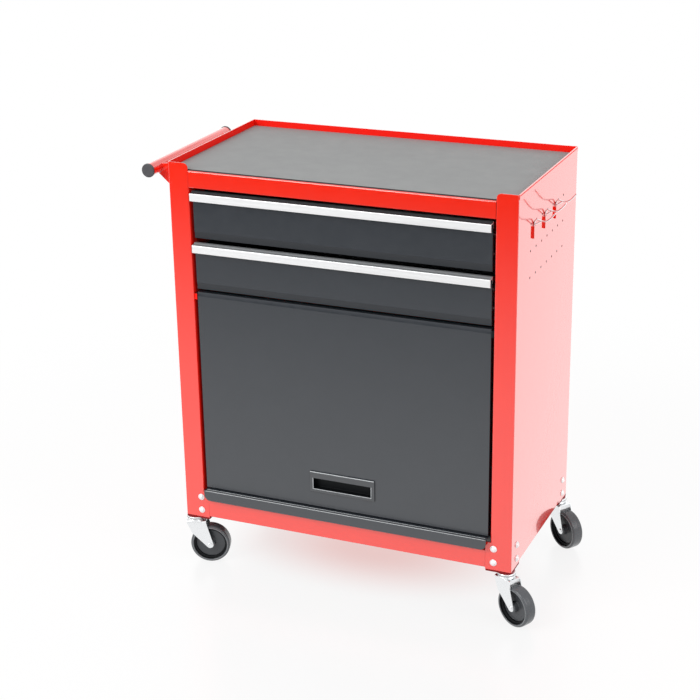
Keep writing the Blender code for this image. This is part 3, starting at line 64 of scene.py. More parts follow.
WELD = 1e-6
QUARTER_TURN = math.pi / 2
FULL_TURN = 2 * math.pi
FLAT_ANGLE = math.radians(0.4)
SHARP_ANGLE = math.radians(50)
LATHE_STEPS = 72
SMALL_STEPS = 32
CORNER_STEPS = 4
WIRE_ROUND = 4
WIRE_ALONG = 8
BEVEL_SEGMENTS = 2
EVEN_WEIGHT = 60
LONGEST_CORNER = 0.48
ALONG_Y = Matrix.Rotation(-QUARTER_TURN, 4, "X")


class Slot(Enum):
    """The record's material slots."""

    RED = "red_paint"
    CHARCOAL = "charcoal_paint"
    ALUMINIUM = "aluminium"
    ZINC = "zinc_plate"
    MAT = "mat_grey"
    WHEEL = "wheel_grey"
    BLACK = "black_plastic"


class Body(Enum):
    """The rigid bodies that pieces ride on, apart from the casters'."""

    CABINET = "cabinet"
    UPPER_DRAWER = "upper_drawer"
    LOWER_DRAWER = "lower_drawer"
    DOOR = "door"


# Finishes


@dataclass(frozen=True)
class Wiring:
    """A node tree, with a short way to add nodes to it."""

    tree: bpy.types.NodeTree

    def feed(self, node: Node, inputs: dict[str | int, Any]) -> None:
        """Links or sets a node's inputs.

        Args:
            node: the node.
            inputs: for each input, another node's output or a plain value.
        """
        for key, source in inputs.items():
            if isinstance(source, Socket):
                self.tree.links.new(source, node.inputs[key])
            else:
                node.inputs[key].default_value = source

    def add(self, kind: str, inputs: dict[str | int, Any], **settings: str) -> Node:
        """Adds a node.

        Args:
            kind: the node's kind, as its type is called after ShaderNode.
            inputs: what its inputs get.
            settings: the node's own settings.

        Returns:
            The node.
        """
        node = self.tree.nodes.new(f"ShaderNode{kind}")
        for key, setting in settings.items():
            setattr(node, key, setting)
        self.feed(node, inputs)
        return node

    def noise(self, spot: Socket, scale: float, detail: float) -> Socket:
        """Adds noise.

        Args:
            spot: the coordinates.
            scale: features per metre.
            detail: octaves.

        Returns:
            The noise's level.
        """
        return self.add("TexNoise", {"Vector": spot, "Scale": scale, "Detail": detail}).outputs["Fac"]

    def bump(self, spot: Socket, waves: Pair, detail: float) -> Node:
        """Adds a bump from noise.

        Args:
            spot: the coordinates.
            waves: features per metre, and their height.
            detail: the noise's octaves.

        Returns:
            The bump node.
        """
        height = self.noise(spot, waves[0], detail)
        return self.add("Bump", {"Height": height, "Strength": 1.0, "Distance": waves[1]})

    def mix(self, share: Any, first: Node, second: Node) -> Node:
        """Mixes two shaders.

        Args:
            share: the second one's share, an output or a number.
            first: the first shader.
            second: the second shader.

        Returns:
            The mixing node.
        """
        return self.add("MixShader", {0: share, 1: first.outputs[0], 2: second.outputs[0]})

    def rise(self, value: Socket, span: Pair, low: float = 0.0) -> Socket:
        """A smooth rise to 1 over a span of a value.

        Args:
            value: the value.
            span: where the rise starts and ends.
            low: the level before it.

        Returns:
            The rising level.
        """
        inputs = {"Value": value, "From Min": span[0], "From Max": span[1], "To Min": low, "To Max": 1.0}
        return self.add("MapRange", inputs, interpolation_type="SMOOTHSTEP").outputs["Result"]


@dataclass(frozen=True)
class Finish:
    """A surface finish: two close tones, gloss that varies, a fine grain and long waves in the surface.

    A scale is in features per metre. Grain and wave are each a scale and a height in metres.
    """

    name: str
    slot: Slot
    tones: tuple[Colour, Colour]
    rough: Pair
    grain: Pair = (900.0, 0.000012)
    wave: Pair = (30.0, 0.0)
    tone_scale: float = 60.0
    rough_scale: float = 160.0
    metallic: float = 0.0
    stretch: Triple = (1.0, 1.0, 1.0)
    coat: float = 0.0
    coat_roughness: float = 0.05
    coat_ior: float = 1.5
    ior: float = 1.5
    tone_detail: float = 3.0
    patch_detail: float = 4.0
    patch_span: Pair = (0.3, 0.7)
    grain_detail: float = 2.0
    wave_detail: float = 1.0

    def material(self) -> bpy.types.Material:
        """The finish's node material, made once.

        Returns:
            The material.
        """
        known = bpy.data.materials.get(self.name)
        if known:
            return known
        material = bpy.data.materials.new(self.name)
        material.use_nodes = True
        nodes = Wiring(material.node_tree)
        place = nodes.add("TexCoord", {}).outputs["Object"]
        spot = nodes.add("Mapping", {"Vector": place, "Scale": self.stretch}).outputs["Vector"]
        first, second = ((*tone, 1.0) for tone in self.tones)
        cloud = nodes.noise(place, self.tone_scale, self.tone_detail)
        colour = nodes.add("Mix", {MIX_FACTOR: cloud, MIX_FIRST: first, MIX_SECOND: second}, data_type="RGBA")
        gloss = nodes.add("MapRange", {
            "Value": nodes.noise(spot, self.rough_scale, self.patch_detail),
            "From Min": self.patch_span[0], "From Max": self.patch_span[1],
            "To Min": self.rough[0], "To Max": self.rough[1],
        })
        fine = nodes.bump(spot, self.grain, self.grain_detail)
        if self.wave[1]:
            swell = nodes.bump(place, self.wave, self.wave_detail)
            nodes.feed(fine, {"Normal": swell.outputs["Normal"]})
        nodes.feed(material.node_tree.nodes["Principled BSDF"], {
            "Base Color": colour.outputs[MIX_RESULT],
            "Roughness": gloss.outputs["Result"],
            "Normal": fine.outputs["Normal"],
            "Metallic": self.metallic,
            "IOR": self.ior,
            "Coat Weight": self.coat,
            "Coat Roughness": self.coat_roughness,
            "Coat IOR": self.coat_ior,
        })
        return material


RED_ENAMEL = Finish(
    "red_enamel", Slot.RED, ((0.91, 0.018, 0.004), (0.95, 0.023, 0.006)), tone_scale=14.0,
    rough=(0.10, 0.16), rough_scale=60.0, wave=(38.0, 0.00010), coat=1.0, coat_roughness=0.03,
    coat_ior=1.85,
)
# A shaded copy of the red paint, without its gloss coat: painted shade for faces inside the cabinet, in
# folds, along the hem crease and at the left track end.
SHADED_RED = Finish(
    "red_enamel_painted_shade", Slot.RED, ((0.95, 0.010, 0.004), (0.99, 0.014, 0.006)), tone_scale=14.0,
    rough=(0.40, 0.50), rough_scale=60.0, ior=1.2,
)
CHARCOAL_ENAMEL = Finish(
    "charcoal_enamel", Slot.CHARCOAL, ((0.024, 0.029, 0.036), (0.029, 0.034, 0.042)), tone_scale=18.0,
    rough=(0.19, 0.26), rough_scale=80.0, grain=(1500.0, 0.000012), wave=(24.0, 0.00006), ior=1.8,
)
# A darker copy of the charcoal paint: painted shade on the drawer fronts' bottom fold.
SHADED_CHARCOAL = Finish(
    "charcoal_enamel_fold_painted_shade", Slot.CHARCOAL, ((0.017, 0.020, 0.025), (0.021, 0.024, 0.029)),
    rough=(0.30, 0.38), ior=1.55,
)
SATIN_ALUMINIUM = Finish(
    "satin_aluminium", Slot.ALUMINIUM, ((0.95, 0.955, 0.96), (0.92, 0.925, 0.93)), tone_scale=30.0,
    metallic=0.55, rough=(0.38, 0.48), rough_scale=90.0, grain=(320.0, 0.00002), stretch=(0.05, 4.0, 4.0),
)
# Grey and near-black copies of the aluminium, without its metal: painted reflection and shade on the pull
# ledges, the near-black one a painted shadow under the rail.
SHADED_ALUMINIUM = Finish(
    "shaded_aluminium", Slot.ALUMINIUM, ((0.200, 0.208, 0.216), (0.240, 0.248, 0.256)), tone_scale=30.0,
    rough=(0.34, 0.44), rough_scale=90.0, grain=(320.0, 0.00001), stretch=(0.05, 4.0, 4.0),
)
PAINTED_SHADOW_ALUMINIUM = Finish(
    "aluminium_painted_shadow", Slot.ALUMINIUM, ((0.030, 0.032, 0.035), (0.040, 0.042, 0.045)), tone_scale=30.0,
    rough=(0.40, 0.50), rough_scale=90.0, grain=(320.0, 0.00001), ior=1.3, stretch=(0.05, 4.0, 4.0),
)
# A pale grey for thin beads: painted highlights along lit edges of the shelf lip and the door grip.
PAINTED_HIGHLIGHT_GREY = Finish(
    "bead_painted_highlight", Slot.BLACK, ((0.46, 0.48, 0.50), (0.54, 0.56, 0.58)), rough=(0.22, 0.30),
    grain=(1600.0, 0.00001),
)
BRIGHT_ZINC = Finish(
    "bright_zinc", Slot.ZINC, ((0.86, 0.875, 0.885), (0.82, 0.833, 0.845)), tone_scale=70.0, metallic=1.0,
    rough=(0.22, 0.30), rough_scale=140.0, grain=(700.0, 0.000008), wave=(90.0, 0.00004),
)
BOLT_ZINC = Finish(
    "bolt_zinc", Slot.ZINC, ((0.95, 0.955, 0.96), (0.90, 0.905, 0.91)), tone_scale=70.0, metallic=0.35,
    rough=(0.30, 0.40), rough_scale=140.0, grain=(700.0, 0.000008),
)
# A dark red: painted shade under the cabinet, on the corner brackets.
UNDERSIDE_SHADE_RED = Finish(
    "underside_red_painted_shade", Slot.RED, ((0.210, 0.008, 0.010), (0.250, 0.010, 0.012)), rough=(0.45, 0.55), ior=1.2,
)
# Near-black red: painted shade on the peg holes' walls, so the holes read as dark dots.
PEG_HOLE_SHADE = Finish(
    "peg_hole_painted_shade", Slot.RED, ((0.055, 0.012, 0.012), (0.075, 0.016, 0.016)), tone_scale=90.0,
    rough=(0.60, 0.70), ior=1.2,
)
RIBBED_MAT = Finish(
    "ribbed_mat", Slot.MAT, ((0.280, 0.286, 0.286), (0.302, 0.308, 0.308)), tone_scale=7.0,
    rough=(0.60, 0.72), rough_scale=40.0, grain=(1100.0, 0.00010), wave=(160.0, 0.00005),
)
# Near-black: painted shade on the mat's side faces and in the caster races' seams.
EDGE_SHADE_BLACK = Finish(
    "edge_painted_shade", Slot.MAT, ((0.030, 0.031, 0.032), (0.040, 0.041, 0.042)), rough=(0.75, 0.85),
    rough_scale=90.0, grain=(1500.0, 0.00004),
)
WHEEL_PLASTIC = Finish(
    "wheel_plastic", Slot.WHEEL, ((0.080, 0.087, 0.095), (0.094, 0.101, 0.110)), rough=(0.22, 0.30),
    grain=(1300.0, 0.00002), wave=(120.0, 0.00005),
)
# A darker wheel grey: painted shade in the wheel's dished web.
WHEEL_WEB_SHADE = Finish(
    "wheel_web_painted_shade", Slot.WHEEL, ((0.046, 0.050, 0.056), (0.056, 0.060, 0.066)), rough=(0.26, 0.36),
    grain=(1300.0, 0.00002),
)
# A paler, glossier wheel grey: painted highlight on the wheel's moulded ring.
WHEEL_RING_HIGHLIGHT = Finish(
    "wheel_ring_painted_highlight", Slot.WHEEL, ((0.150, 0.160, 0.170), (0.180, 0.190, 0.200)), rough=(0.10, 0.18),
    grain=(1300.0, 0.00001), ior=1.9,
)
CAP_PLASTIC = Finish(
    "cap_plastic", Slot.WHEEL, ((0.058, 0.058, 0.064), (0.068, 0.068, 0.074)), tone_scale=80.0,
    rough=(0.42, 0.52), grain=(1500.0, 0.00004),
)
GRIP_PLASTIC = Finish(
    "grip_plastic", Slot.BLACK, ((0.048, 0.052, 0.058), (0.056, 0.060, 0.066)), rough=(0.16, 0.24),
    grain=(1600.0, 0.00001), ior=1.7,
)
# Near-black: painted shade in the grip's slot, on the shelf lip's top under the door, at the right track end
# and in the wheels' grooves.
BLACK_SHADE = Finish(
    "black_painted_shade", Slot.BLACK, ((0.0015, 0.002, 0.003), (0.002, 0.003, 0.004)), rough=(0.50, 0.60),
    grain=(1600.0, 0.00002), ior=1.3,
)


# Shapes


def placed(name: str, data: bpy.types.ID) -> bpy.types.Object:
    """Puts a new object in the scene.

    Args:
        name: its name.
        data: its mesh, curve, light or camera.

    Returns:
        The object.
    """
    thing = bpy.data.objects.new(name, data)
    bpy.context.scene.collection.objects.link(thing)
    return thing


def lathe(profile: Sequence[Pair], closed: bool = False, steps: int = LATHE_STEPS) -> Shape:
    """Spins a profile round Z.

    Args:
        profile: radius and height of each corner, from axis to axis unless it is closed.
        closed: True for a profile that comes back to its start.
        steps: faces round the axis.

    Returns:
        The turned shape.
    """
    bm = bmesh.new()
    ring = [bm.verts.new((radius, 0.0, height)) for radius, height in profile]
    edges = [bm.edges.new(pair) for pair in zip(ring, ring[1:])]
    if closed:
        edges.append(bm.edges.new((ring[-1], ring[0])))
    bmesh.ops.spin(
        bm, geom=ring + edges, cent=(0, 0, 0), axis=(0, 0, 1), dvec=(0, 0, 0),
        angle=FULL_TURN, steps=steps, use_merge=True, use_duplicate=False,
    )
    bmesh.ops.remove_doubles(bm, verts=bm.verts, dist=WELD)
    bmesh.ops.recalc_face_normals(bm, faces=bm.faces)
    return bm


def bend(centre: Pair, radius: float, start: float, end: float, steps: int) -> list[Pair]:
    """Points on an arc.

    Args:
        centre: the arc's centre.
        radius: its radius.
        start: its first angle in degrees.
        end: its last angle in degrees.
        steps: the number of stretches.

    Returns:
        The points, both ends included.
    """
    turns = [math.radians(start + (end - start) * step / steps) for step in range(steps + 1)]
    return [(centre[0] + radius * math.cos(turn), centre[1] + radius * math.sin(turn)) for turn in turns]


def softened(path: Sequence[Pair], radius: float, steps: int) -> list[Pair]:
    """An open path with its corners rounded.

    Args:
        path: the corners.
        radius: the largest rounding, less where a side is short.
        steps: stretches in each corner.

    Returns:
        The rounded path.
    """
    spots = [Vector(spot) for spot in path]
    result = [spots[0]]
    for before, here, after in zip(spots, spots[1:], spots[2:]):
        back, on = before - here, after - here
        most = min(back.length, on.length) * LONGEST_CORNER
        reach = min(radius / math.tan(back.angle(on) / 2), most)
        start = here + back.normalized() * reach
        end = here + on.normalized() * reach
        for step in range(steps + 1):
            share = step / steps
            result.append(start.lerp(here, share).lerp(here.lerp(end, share), share))
    result.append(spots[-1])
    return [tuple(spot) for spot in result]


def extruded(outline: Sequence[Pair], low: float, high: float) -> Shape:
    """A bar along X with the given section in Y and Z.

    Args:
        outline: the section's corners.
        low: the bar's start.
        high: its end.

    Returns:
        The closed bar.
    """
    bm = bmesh.new()
    face = bm.faces.new([bm.verts.new((low, across, up)) for across, up in outline])
    pushed = bmesh.ops.extrude_face_region(bm, geom=[face])
    ends = [item for item in pushed["geom"] if isinstance(item, bmesh.types.BMVert)]
    bmesh.ops.translate(bm, verts=ends, vec=(high - low, 0, 0))
    bmesh.ops.recalc_face_normals(bm, faces=bm.faces)
    return bm


def block(low: Triple, high: Triple, rounding: float = 0.0, segments: int = BEVEL_SEGMENTS) -> Shape:
    """A box, with bevelled edges where it has a rounding.

    Args:
        low: its lowest corner.
        high: its highest corner.
        rounding: the bevel's width, 0 for none.
        segments: the bevel's segments.

    Returns:
        The box.
    """
    bm = bmesh.new()
    bmesh.ops.create_cube(bm, size=1)
    bmesh.ops.scale(bm, vec=Vector(high) - Vector(low), verts=bm.verts)
    bmesh.ops.translate(bm, vec=(Vector(low) + Vector(high)) / 2, verts=bm.verts)
    if rounding:
        bmesh.ops.bevel(
            bm, geom=bm.edges, offset=rounding, offset_type="OFFSET", affect="EDGES", segments=segments,
            profile=0.5, material=-1, clamp_overlap=True,
        )
    return bm


def wire(points: Sequence[Triple], radius: float, smooth: bool = True) -> Shape:
    """A round wire through some points, with closed ends.

    Args:
        points: the wire's middle line.
        radius: the wire's radius.
        smooth: True for a curve through the points, False for straight stretches.

    Returns:
        The wire.
    """
    curve = bpy.data.curves.new("wire", "CURVE")
    curve.dimensions = "3D"
    curve.bevel_depth = radius
    curve.bevel_resolution = WIRE_ROUND
    curve.resolution_u = WIRE_ALONG
    curve.use_fill_caps = True
    if smooth:
        spline = curve.splines.new("BEZIER")
        spline.bezier_points.add(len(points) - 1)
        for knot, spot in zip(spline.bezier_points, points):
            knot.co = spot
            knot.handle_left_type = knot.handle_right_type = "AUTO"
    else:
        spline = curve.splines.new("POLY")
        spline.points.add(len(points) - 1)
        for knot, spot in zip(spline.points, points):
            knot.co = (*spot, 1.0)
    holder = placed("wire", curve)
    bpy.context.view_layer.update()
    shape = holder.evaluated_get(bpy.context.evaluated_depsgraph_get()).to_mesh()
    bm = bmesh.new()
    bm.from_mesh(shape)
    bpy.data.objects.remove(holder)
    bpy.data.curves.remove(curve)
    bmesh.ops.remove_doubles(bm, verts=bm.verts, dist=WELD)
    bmesh.ops.recalc_face_normals(bm, faces=bm.faces)
    return bm


def moved(bm: Shape, matrix: Matrix) -> Shape:
    """Moves a shape.

    Args:
        bm: the shape.
        matrix: where it goes.

    Returns:
        The same shape.
    """
    bmesh.ops.transform(bm, matrix=matrix, verts=bm.verts)
    return bm


def gathered(*shapes: Shape) -> Shape:
    """Puts several shapes into one.

    Args:
        shapes: the shapes, which are used up.

    Returns:
        One shape that holds them all.
    """
    whole = bmesh.new()
    for shape in shapes:
        loose = bpy.data.meshes.new("loose")
        shape.to_mesh(loose)
        shape.free()
        whole.from_mesh(loose)
        bpy.data.meshes.remove(loose)
    return whole


def welded_copy(node: str) -> Shape:
    """A CAD node's shape with its loose triangles joined into flat faces.

    Args:
        node: the node's name.

    Returns:
        The copy.
    """
    bm = bmesh.new()
    bm.from_mesh(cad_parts[node].data)
    bmesh.ops.remove_doubles(bm, verts=bm.verts, dist=WELD)
    bmesh.ops.dissolve_limit(
        bm, angle_limit=FLAT_ANGLE, use_dissolve_boundaries=False, verts=bm.verts, edges=bm.edges,
    )
    return bm


def finished(
    name: str, bm: Shape, finish: Finish, body: str, replaced: Sequence[str] = (), bevel: float = 0.0,
    more: Sequence[Finish] = (),
) -> None:
    """Makes a shape a shown piece of the cart.

    Args:
        name: the piece's name.
        bm: its shape, which is used up.
        finish: its finish.
        body: the rigid body that it rides on.
        replaced: the CAD nodes that it stands for.
        bevel: width of a live bevel on its sharp edges, 0 for none.
        more: further finishes, for the faces that are marked with their places, counted from 1.
    """
    for edge in bm.edges:
        if not bevel and len(edge.link_faces) == 2:
            edge.smooth = edge.calc_face_angle(0.0) < SHARP_ANGLE
    for face in bm.faces:
        face.smooth = True
    mesh = bpy.data.meshes.new(name)
    bm.to_mesh(mesh)
    bm.free()
    for each in (finish, *more):
        mesh.materials.append(each.material())
    piece = placed(name, mesh)
    if bevel:
        edge_break = piece.modifiers.new("edge_break", "BEVEL")
        edge_break.width = bevel
        edge_break.segments = BEVEL_SEGMENTS
        edge_break.limit_method = "ANGLE"
        edge_break.angle_limit = SHARP_ANGLE
        edge_break.use_clamp_overlap = True
    even = piece.modifiers.new("even_shading", "WEIGHTED_NORMAL")
    even.mode = "FACE_AREA"
    even.weight = EVEN_WEIGHT
    even.keep_sharp = True
    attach(piece, body)
    if replaced:
        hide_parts(*replaced)
    LOG.info("%s rides on %s", name, body)


def marked(bm: Shape, place: int, test: Callable[[Face], bool]) -> Shape:
    """Marks some of a shape's faces for a further finish.

    Args:
        bm: the shape.
        place: the finish's place among the further finishes, counted from 1.
        test: tells which faces have it.

    Returns:
        The same shape.
    """
    bm.normal_update()
    for face in bm.faces:
        if test(face):
            face.material_index = place
    return bm


def paint_node(node: str, finish: Finish) -> None:
    """Gives a CAD node that stays a finish.

    Args:
        node: the node's name.
        finish: the finish.
    """
    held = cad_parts[node]
    held.data.materials.clear()
    held.data.materials.append(finish.material())
    LOG.info("%s keeps its CAD shape", node)


@dataclass(frozen=True)
class PanHead:
    """A domed bolt head on a thin flange, standing on Z = 0. All but its size are shares of the size."""

    radius: float
    height: float
    rim_height: float = 0.28
    rim_top: float = 0.96
    rim_chamfer: float = 0.7
    dome_radius: float = 0.80
    dome_foot: float = 1.15
    dome_turns: Triple = (0.45, 0.9, 1.25)

    def shape(self) -> Shape:
        """Turns the head.

        Returns:
            The head.
        """
        rim = self.height * self.rim_height
        foot = rim * self.dome_foot
        dome = self.radius * self.dome_radius
        profile = [(0.0, 0.0), (self.radius, 0.0), (self.radius, rim * self.rim_chamfer)]
        profile += [(self.radius * self.rim_top, rim), (dome, foot)]
        for turn in self.dome_turns:
            profile.append((dome * math.cos(turn), foot + (self.height - foot) * math.sin(turn)))
        profile.append((0.0, self.height))
        return lathe(profile, steps=SMALL_STEPS)


@dataclass(frozen=True)
class Datum:
    """Planes of the cabinet that the pieces are placed from."""

    middle: float
    half_width: float
    front: float
    back: float
    panel_bottom: float
    panel_top: float

    @classmethod
    def read(cls, socket_proud: float = 0.003, hem_step: float = 0.0008) -> "Datum":
        """Reads the planes from the side panels.

        Args:
            socket_proud: how far the hook sockets stand out of the right panel.
            hem_step: how far the hem stands out of the left panel.

        Returns:
            The planes.
        """
        left_low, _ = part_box("side_panel_left")
        right_low, right_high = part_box("side_panel_right")
        left = left_low[0] + hem_step
        right = right_high[0] - socket_proud
        middle, half = (left + right) / 2, (right - left) / 2
        return cls(middle, half, right_low[1], right_high[1], right_low[2], right_high[2])


# Sub-assemblies. Their sizes are in metres. Fields such as level_up, forward, tilted and square_on are
# limits on one part of a face's normal, and tell which faces get a further finish.

CASTER_TURNS = {"front_left": 18.0, "front_right": -28.0, "rear_left": 40.0, "rear_right": -35.0}
SIDES = ("left", "right")
ENDS = {"front": -1, "rear": 1}


@dataclass
class CabinetShell:
    """Side panels, rails, back, shelf and what is folded from sheet with them."""

    datum: Datum
    head: PanHead = PanHead(0.0060, 0.0041)
    front_bolt_inset: float = 0.0315
    side_bolt_inset: float = 0.029
    bolt_levels: tuple[float, ...] = (0.0138, 0.0394)
    copies: tuple[tuple[str, str], ...] = (
        ("panel_left", "side_panel_left"), ("panel_right", "side_panel_right"),
        ("rail_over_drawers", "top_front_rail"), ("rail_front_low", "front_bottom_rail"),
        ("rail_rear_low", "rear_bottom_rail"), ("sheet_back", "back_panel"),
    )
    kept: tuple[str, ...] = ("top_tray", "hook_rail", "drawer_support_left", "drawer_support_right")
    square_on: float = 0.7
    tilted: float = 0.2
    level_up: float = 0.85
    edge_on: float = 0.1
    peg_facet: float = 0.0000034
    peg_depth: float = 0.003
    skirt_depth: float = 0.0156
    skirt_margin: float = 0.003
    skirt_height: float = 0.018
    skirt_wall: float = 0.0012
    lip_depth: float = 0.014
    lip_level: float = 0.8
    lip_bead: float = 0.0005
    lip_lines: tuple[Pair, ...] = ((0.0005, 0.00045), (0.0066, 0.0002))
    lip_half: float = 0.262
    lip_middle: float = 0.007
    crease_out: float = 0.0010
    crease_drop: float = 0.0013
    crease_height: float = 0.0014
    crease_depth: float = 0.001
    crease_ends: float = 0.004

    def build(self) -> None:
        """Makes the shell's pieces."""
        for name, node in self.copies:
            # Inside and fold faces get painted shade in a shaded red; peg-hole walls get painted shade in a
            # near-black red.
            shape = marked(welded_copy(node), 1, self.is_inside)
            marked(shape, 2, self.is_peg_hole)
            finished(name, shape, RED_ENAMEL, Body.CABINET.value, [node], more=(SHADED_RED, PEG_HOLE_SHADE))
        for node in self.kept:
            paint_node(node, RED_ENAMEL)
        shelf = gathered(welded_copy("bottom_shelf"), self.shelf_skirt())
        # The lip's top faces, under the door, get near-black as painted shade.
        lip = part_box("bottom_shelf")[0][1] + self.lip_depth
        marked(shelf, 1, lambda face: face.normal.z > self.lip_level and face.calc_center_median().y < lip)
        finished("shelf", shelf, CHARCOAL_ENAMEL, Body.CABINET.value, ["bottom_shelf"], more=(BLACK_SHADE,))
        self.lip_beads()
        self.hem_shade_strips()
        # The corner brackets get a dark red as painted shade under the cabinet.
        for corner in CASTER_TURNS:
            paint_node(f"corner_bracket_{corner}", UNDERSIDE_SHADE_RED)
        self.bolts()

    def is_inside(self, face: Face) -> bool:
        """Tells the faces that look into the cabinet, and its narrow folds, from the open panels.

        Args:
            face: a face of the shell.

        Returns:
            True where a shaded copy of the red paint, without its gloss coat, is painted in as the shade
            inside the cabinet and in its folds.
        """
        datum = self.datum
        middle, normal = face.calc_center_median(), face.normal
        across = middle.x - datum.middle
        if abs(normal.x) > self.square_on:
            return across * normal.x < 0
        if abs(normal.y) > self.square_on:
            depth = middle.y - (datum.front + datum.back) / 2
            return depth * normal.y < 0
        return normal.z < -self.tilted or self.tilted < normal.z < self.level_up

    def is_peg_hole(self, face: Face) -> bool:
        """Tells the small faces round the peg holes.

        Args:
            face: a face of the shell.

        Returns:
            True on a peg hole's wall, which gets a near-black red as painted shade.
        """
        outer = face.calc_center_median().x - self.datum.middle > self.datum.half_width - self.peg_depth
        return outer and abs(face.normal.x) < self.edge_on and face.calc_area() < self.peg_facet

    def shelf_skirt(self) -> Shape:
        """The shelf's down-turned front edge, behind the posts.

        Returns:
            The skirt.
        """
        datum = self.datum
        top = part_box("bottom_shelf")[1][2] - self.skirt_wall
        near = datum.front + self.skirt_depth
        half = datum.half_width - self.skirt_margin
        low = (datum.middle - half, near, top - self.skirt_height)
        return block(low, (datum.middle + half, near + self.skirt_wall, top))

    def lip_beads(self) -> None:
        """Two thin beads in a pale grey along the top of the shelf's rolled lip: painted highlights for its
        two lit edges.
        """
        low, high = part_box("bottom_shelf")
        beads = []
        for back, sink in self.lip_lines:
            level = high[2] - sink
            near = low[1] + back
            ends = [(side * self.lip_half + self.lip_middle, near, level) for side in (-1, 1)]
            beads.append(wire(ends, self.lip_bead, smooth=False))
        finished("shelf_lip_highlight_beads", gathered(*beads), PAINTED_HIGHLIGHT_GREY, Body.CABINET.value)

    def hem_shade_strips(self) -> None:
        """A thin strip in a shaded copy of the red paint under the folded top edge of each side panel:
        painted shade along the crease.
        """
        datum = self.datum
        top = datum.panel_top - self.crease_drop
        for side, name in ((-1, "hem_shade_strip_left"), (1, "hem_shade_strip_right")):
            outer = datum.middle + side * (datum.half_width + self.crease_out)
            inner = outer - side * self.crease_depth
            low = (min(outer, inner), datum.front + self.crease_ends, top - self.crease_height)
            high = (max(outer, inner), datum.back - self.crease_ends, top)
            finished(name, block(low, high), SHADED_RED, Body.CABINET.value)

    def bolts(self) -> None:
        """Domed heads over the corner bolts, front, sides and rear."""
        datum = self.datum
        heads = []
        for height in self.bolt_levels:
            level = datum.panel_bottom + height
            for side in (-1, 1):
                across = datum.middle + side * (datum.half_width - self.front_bolt_inset)
                outer = datum.middle + side * datum.half_width
                for edge, inward in ((datum.front, 1), (datum.back, -1)):
                    along = edge + inward * self.side_bolt_inset
                    spots = (((across, edge, level), inward, "X"), ((outer, along, level), side, "Y"))
                    for place, turn, axis in spots:
                        out = Matrix.Rotation(turn * QUARTER_TURN, 4, axis)
                        heads.append(moved(self.head.shape(), Matrix.Translation(place) @ out))
        finished("corner_bolt_heads", gathered(*heads), BOLT_ZINC, Body.CABINET.value)


@dataclass
class TopMat:
    """The grey mat in the top tray."""

    rounding: float = 0.0006
    segments: int = 3
    trim: float = 0.0012
    level_up: float = 0.6

    def build(self) -> None:
        """Makes the mat, cut a little short along the front rail."""
        low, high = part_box("top_mat")
        shape = block((low[0], low[1] + self.trim, low[2]), tuple(high), self.rounding, self.segments)
        # The mat's side faces get near-black as painted shade.
        marked(shape, 1, lambda face: face.normal.z < self.level_up)
        finished("mat", shape, RIBBED_MAT, Body.CABINET.value, ["top_mat"], more=(EDGE_SHADE_BLACK,))


@dataclass
class Drawer:
    """One drawer: its box, folded front, extruded pull and slides."""

    name: str
    body: Body
    # The finish that paints in the ledge's reflection and shade.
    ledge_painted_shade_finish: Finish
    projection: float = 0.011
    height: float = 0.016
    step_back: float = 0.0025
    step_drop: float = 0.0019
    wall: float = 0.0016
    clip_depth: float = 0.012
    hem: float = 0.003
    fold_height: float = 0.0115
    clip_front: float = 0.0015
    back_gap: float = 0.0003
    nose_rounding: float = 0.0018
    nose_steps: int = 5
    edge_break: float = 0.0002
    level_up: float = 0.6
    forward: float = -0.5

    def pull_section(self, face: float, top: float) -> list[Pair]:
        """The pull's section.

        Args:
            face: Y of the drawer front's face.
            top: Z of the pull's top.

        Returns:
            The section's corners in Y and Z.
        """
        front, ledge = -self.projection, -self.step_drop
        under, inner = ledge - self.wall, front + self.wall
        lip, foot = front + self.hem, -self.height
        nose = [(-self.step_back, ledge), (front, ledge), (front, foot), (lip, foot)]
        clip_back = self.clip_front + self.wall
        section = [(clip_back, -self.clip_depth), (clip_back, 0.0), (-self.step_back, 0.0)]
        section += softened(nose, self.nose_rounding, self.nose_steps)
        section += [(lip, foot + self.wall), (inner, foot + self.wall), (inner, under)]
        section += [(-self.back_gap, under), (-self.back_gap, -self.wall)]
        section += [(self.clip_front, -self.wall), (self.clip_front, -self.clip_depth)]
        return [(face + across, top + up) for across, up in section]

    def is_ledge(self, face: Face, step: float) -> bool:
        """Tells the pull's top and the face behind its step.

        Args:
            face: a face of the pull.
            step: Y of the middle of the pull.

        Returns:
            True where the pull reflects the drawer front; these faces get a grey or near-black aluminium that
            paints in that reflection and the rail's shadow.
        """
        if face.normal.z > self.level_up:
            return True
        return face.normal.y < self.forward and face.calc_center_median().y > step

    def build(self) -> None:
        """Makes the drawer's pieces."""
        node = f"drawer_{self.name}"
        front_low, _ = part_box(f"{node}_front")
        pull_low, pull_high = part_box(f"{node}_pull")
        bar = extruded(self.pull_section(front_low[1], pull_high[2]), pull_low[0], pull_high[0])
        step = front_low[1] - self.projection / 2
        marked(bar, 1, lambda face: self.is_ledge(face, step))
        finished(
            f"{self.name}_pull_bar", bar, SATIN_ALUMINIUM, self.body.value, [f"{node}_pull"],
            bevel=self.edge_break, more=(self.ledge_painted_shade_finish,),
        )
        # The front's bottom fold band gets the darker charcoal as painted shade.
        fold = front_low[2] + self.fold_height
        front = marked(welded_copy(f"{node}_front"), 1, lambda face: face.calc_center_median().z < fold)
        finished(
            f"{self.name}_face", front, CHARCOAL_ENAMEL, self.body.value, [f"{node}_front"],
            more=(SHADED_CHARCOAL,),
        )
        paint_node(f"{node}_box", CHARCOAL_ENAMEL)
        for side in SIDES:
            paint_node(f"{node}_slide_inner_{side}", BRIGHT_ZINC)
            paint_node(f"{node}_slide_outer_{side}", BRIGHT_ZINC)


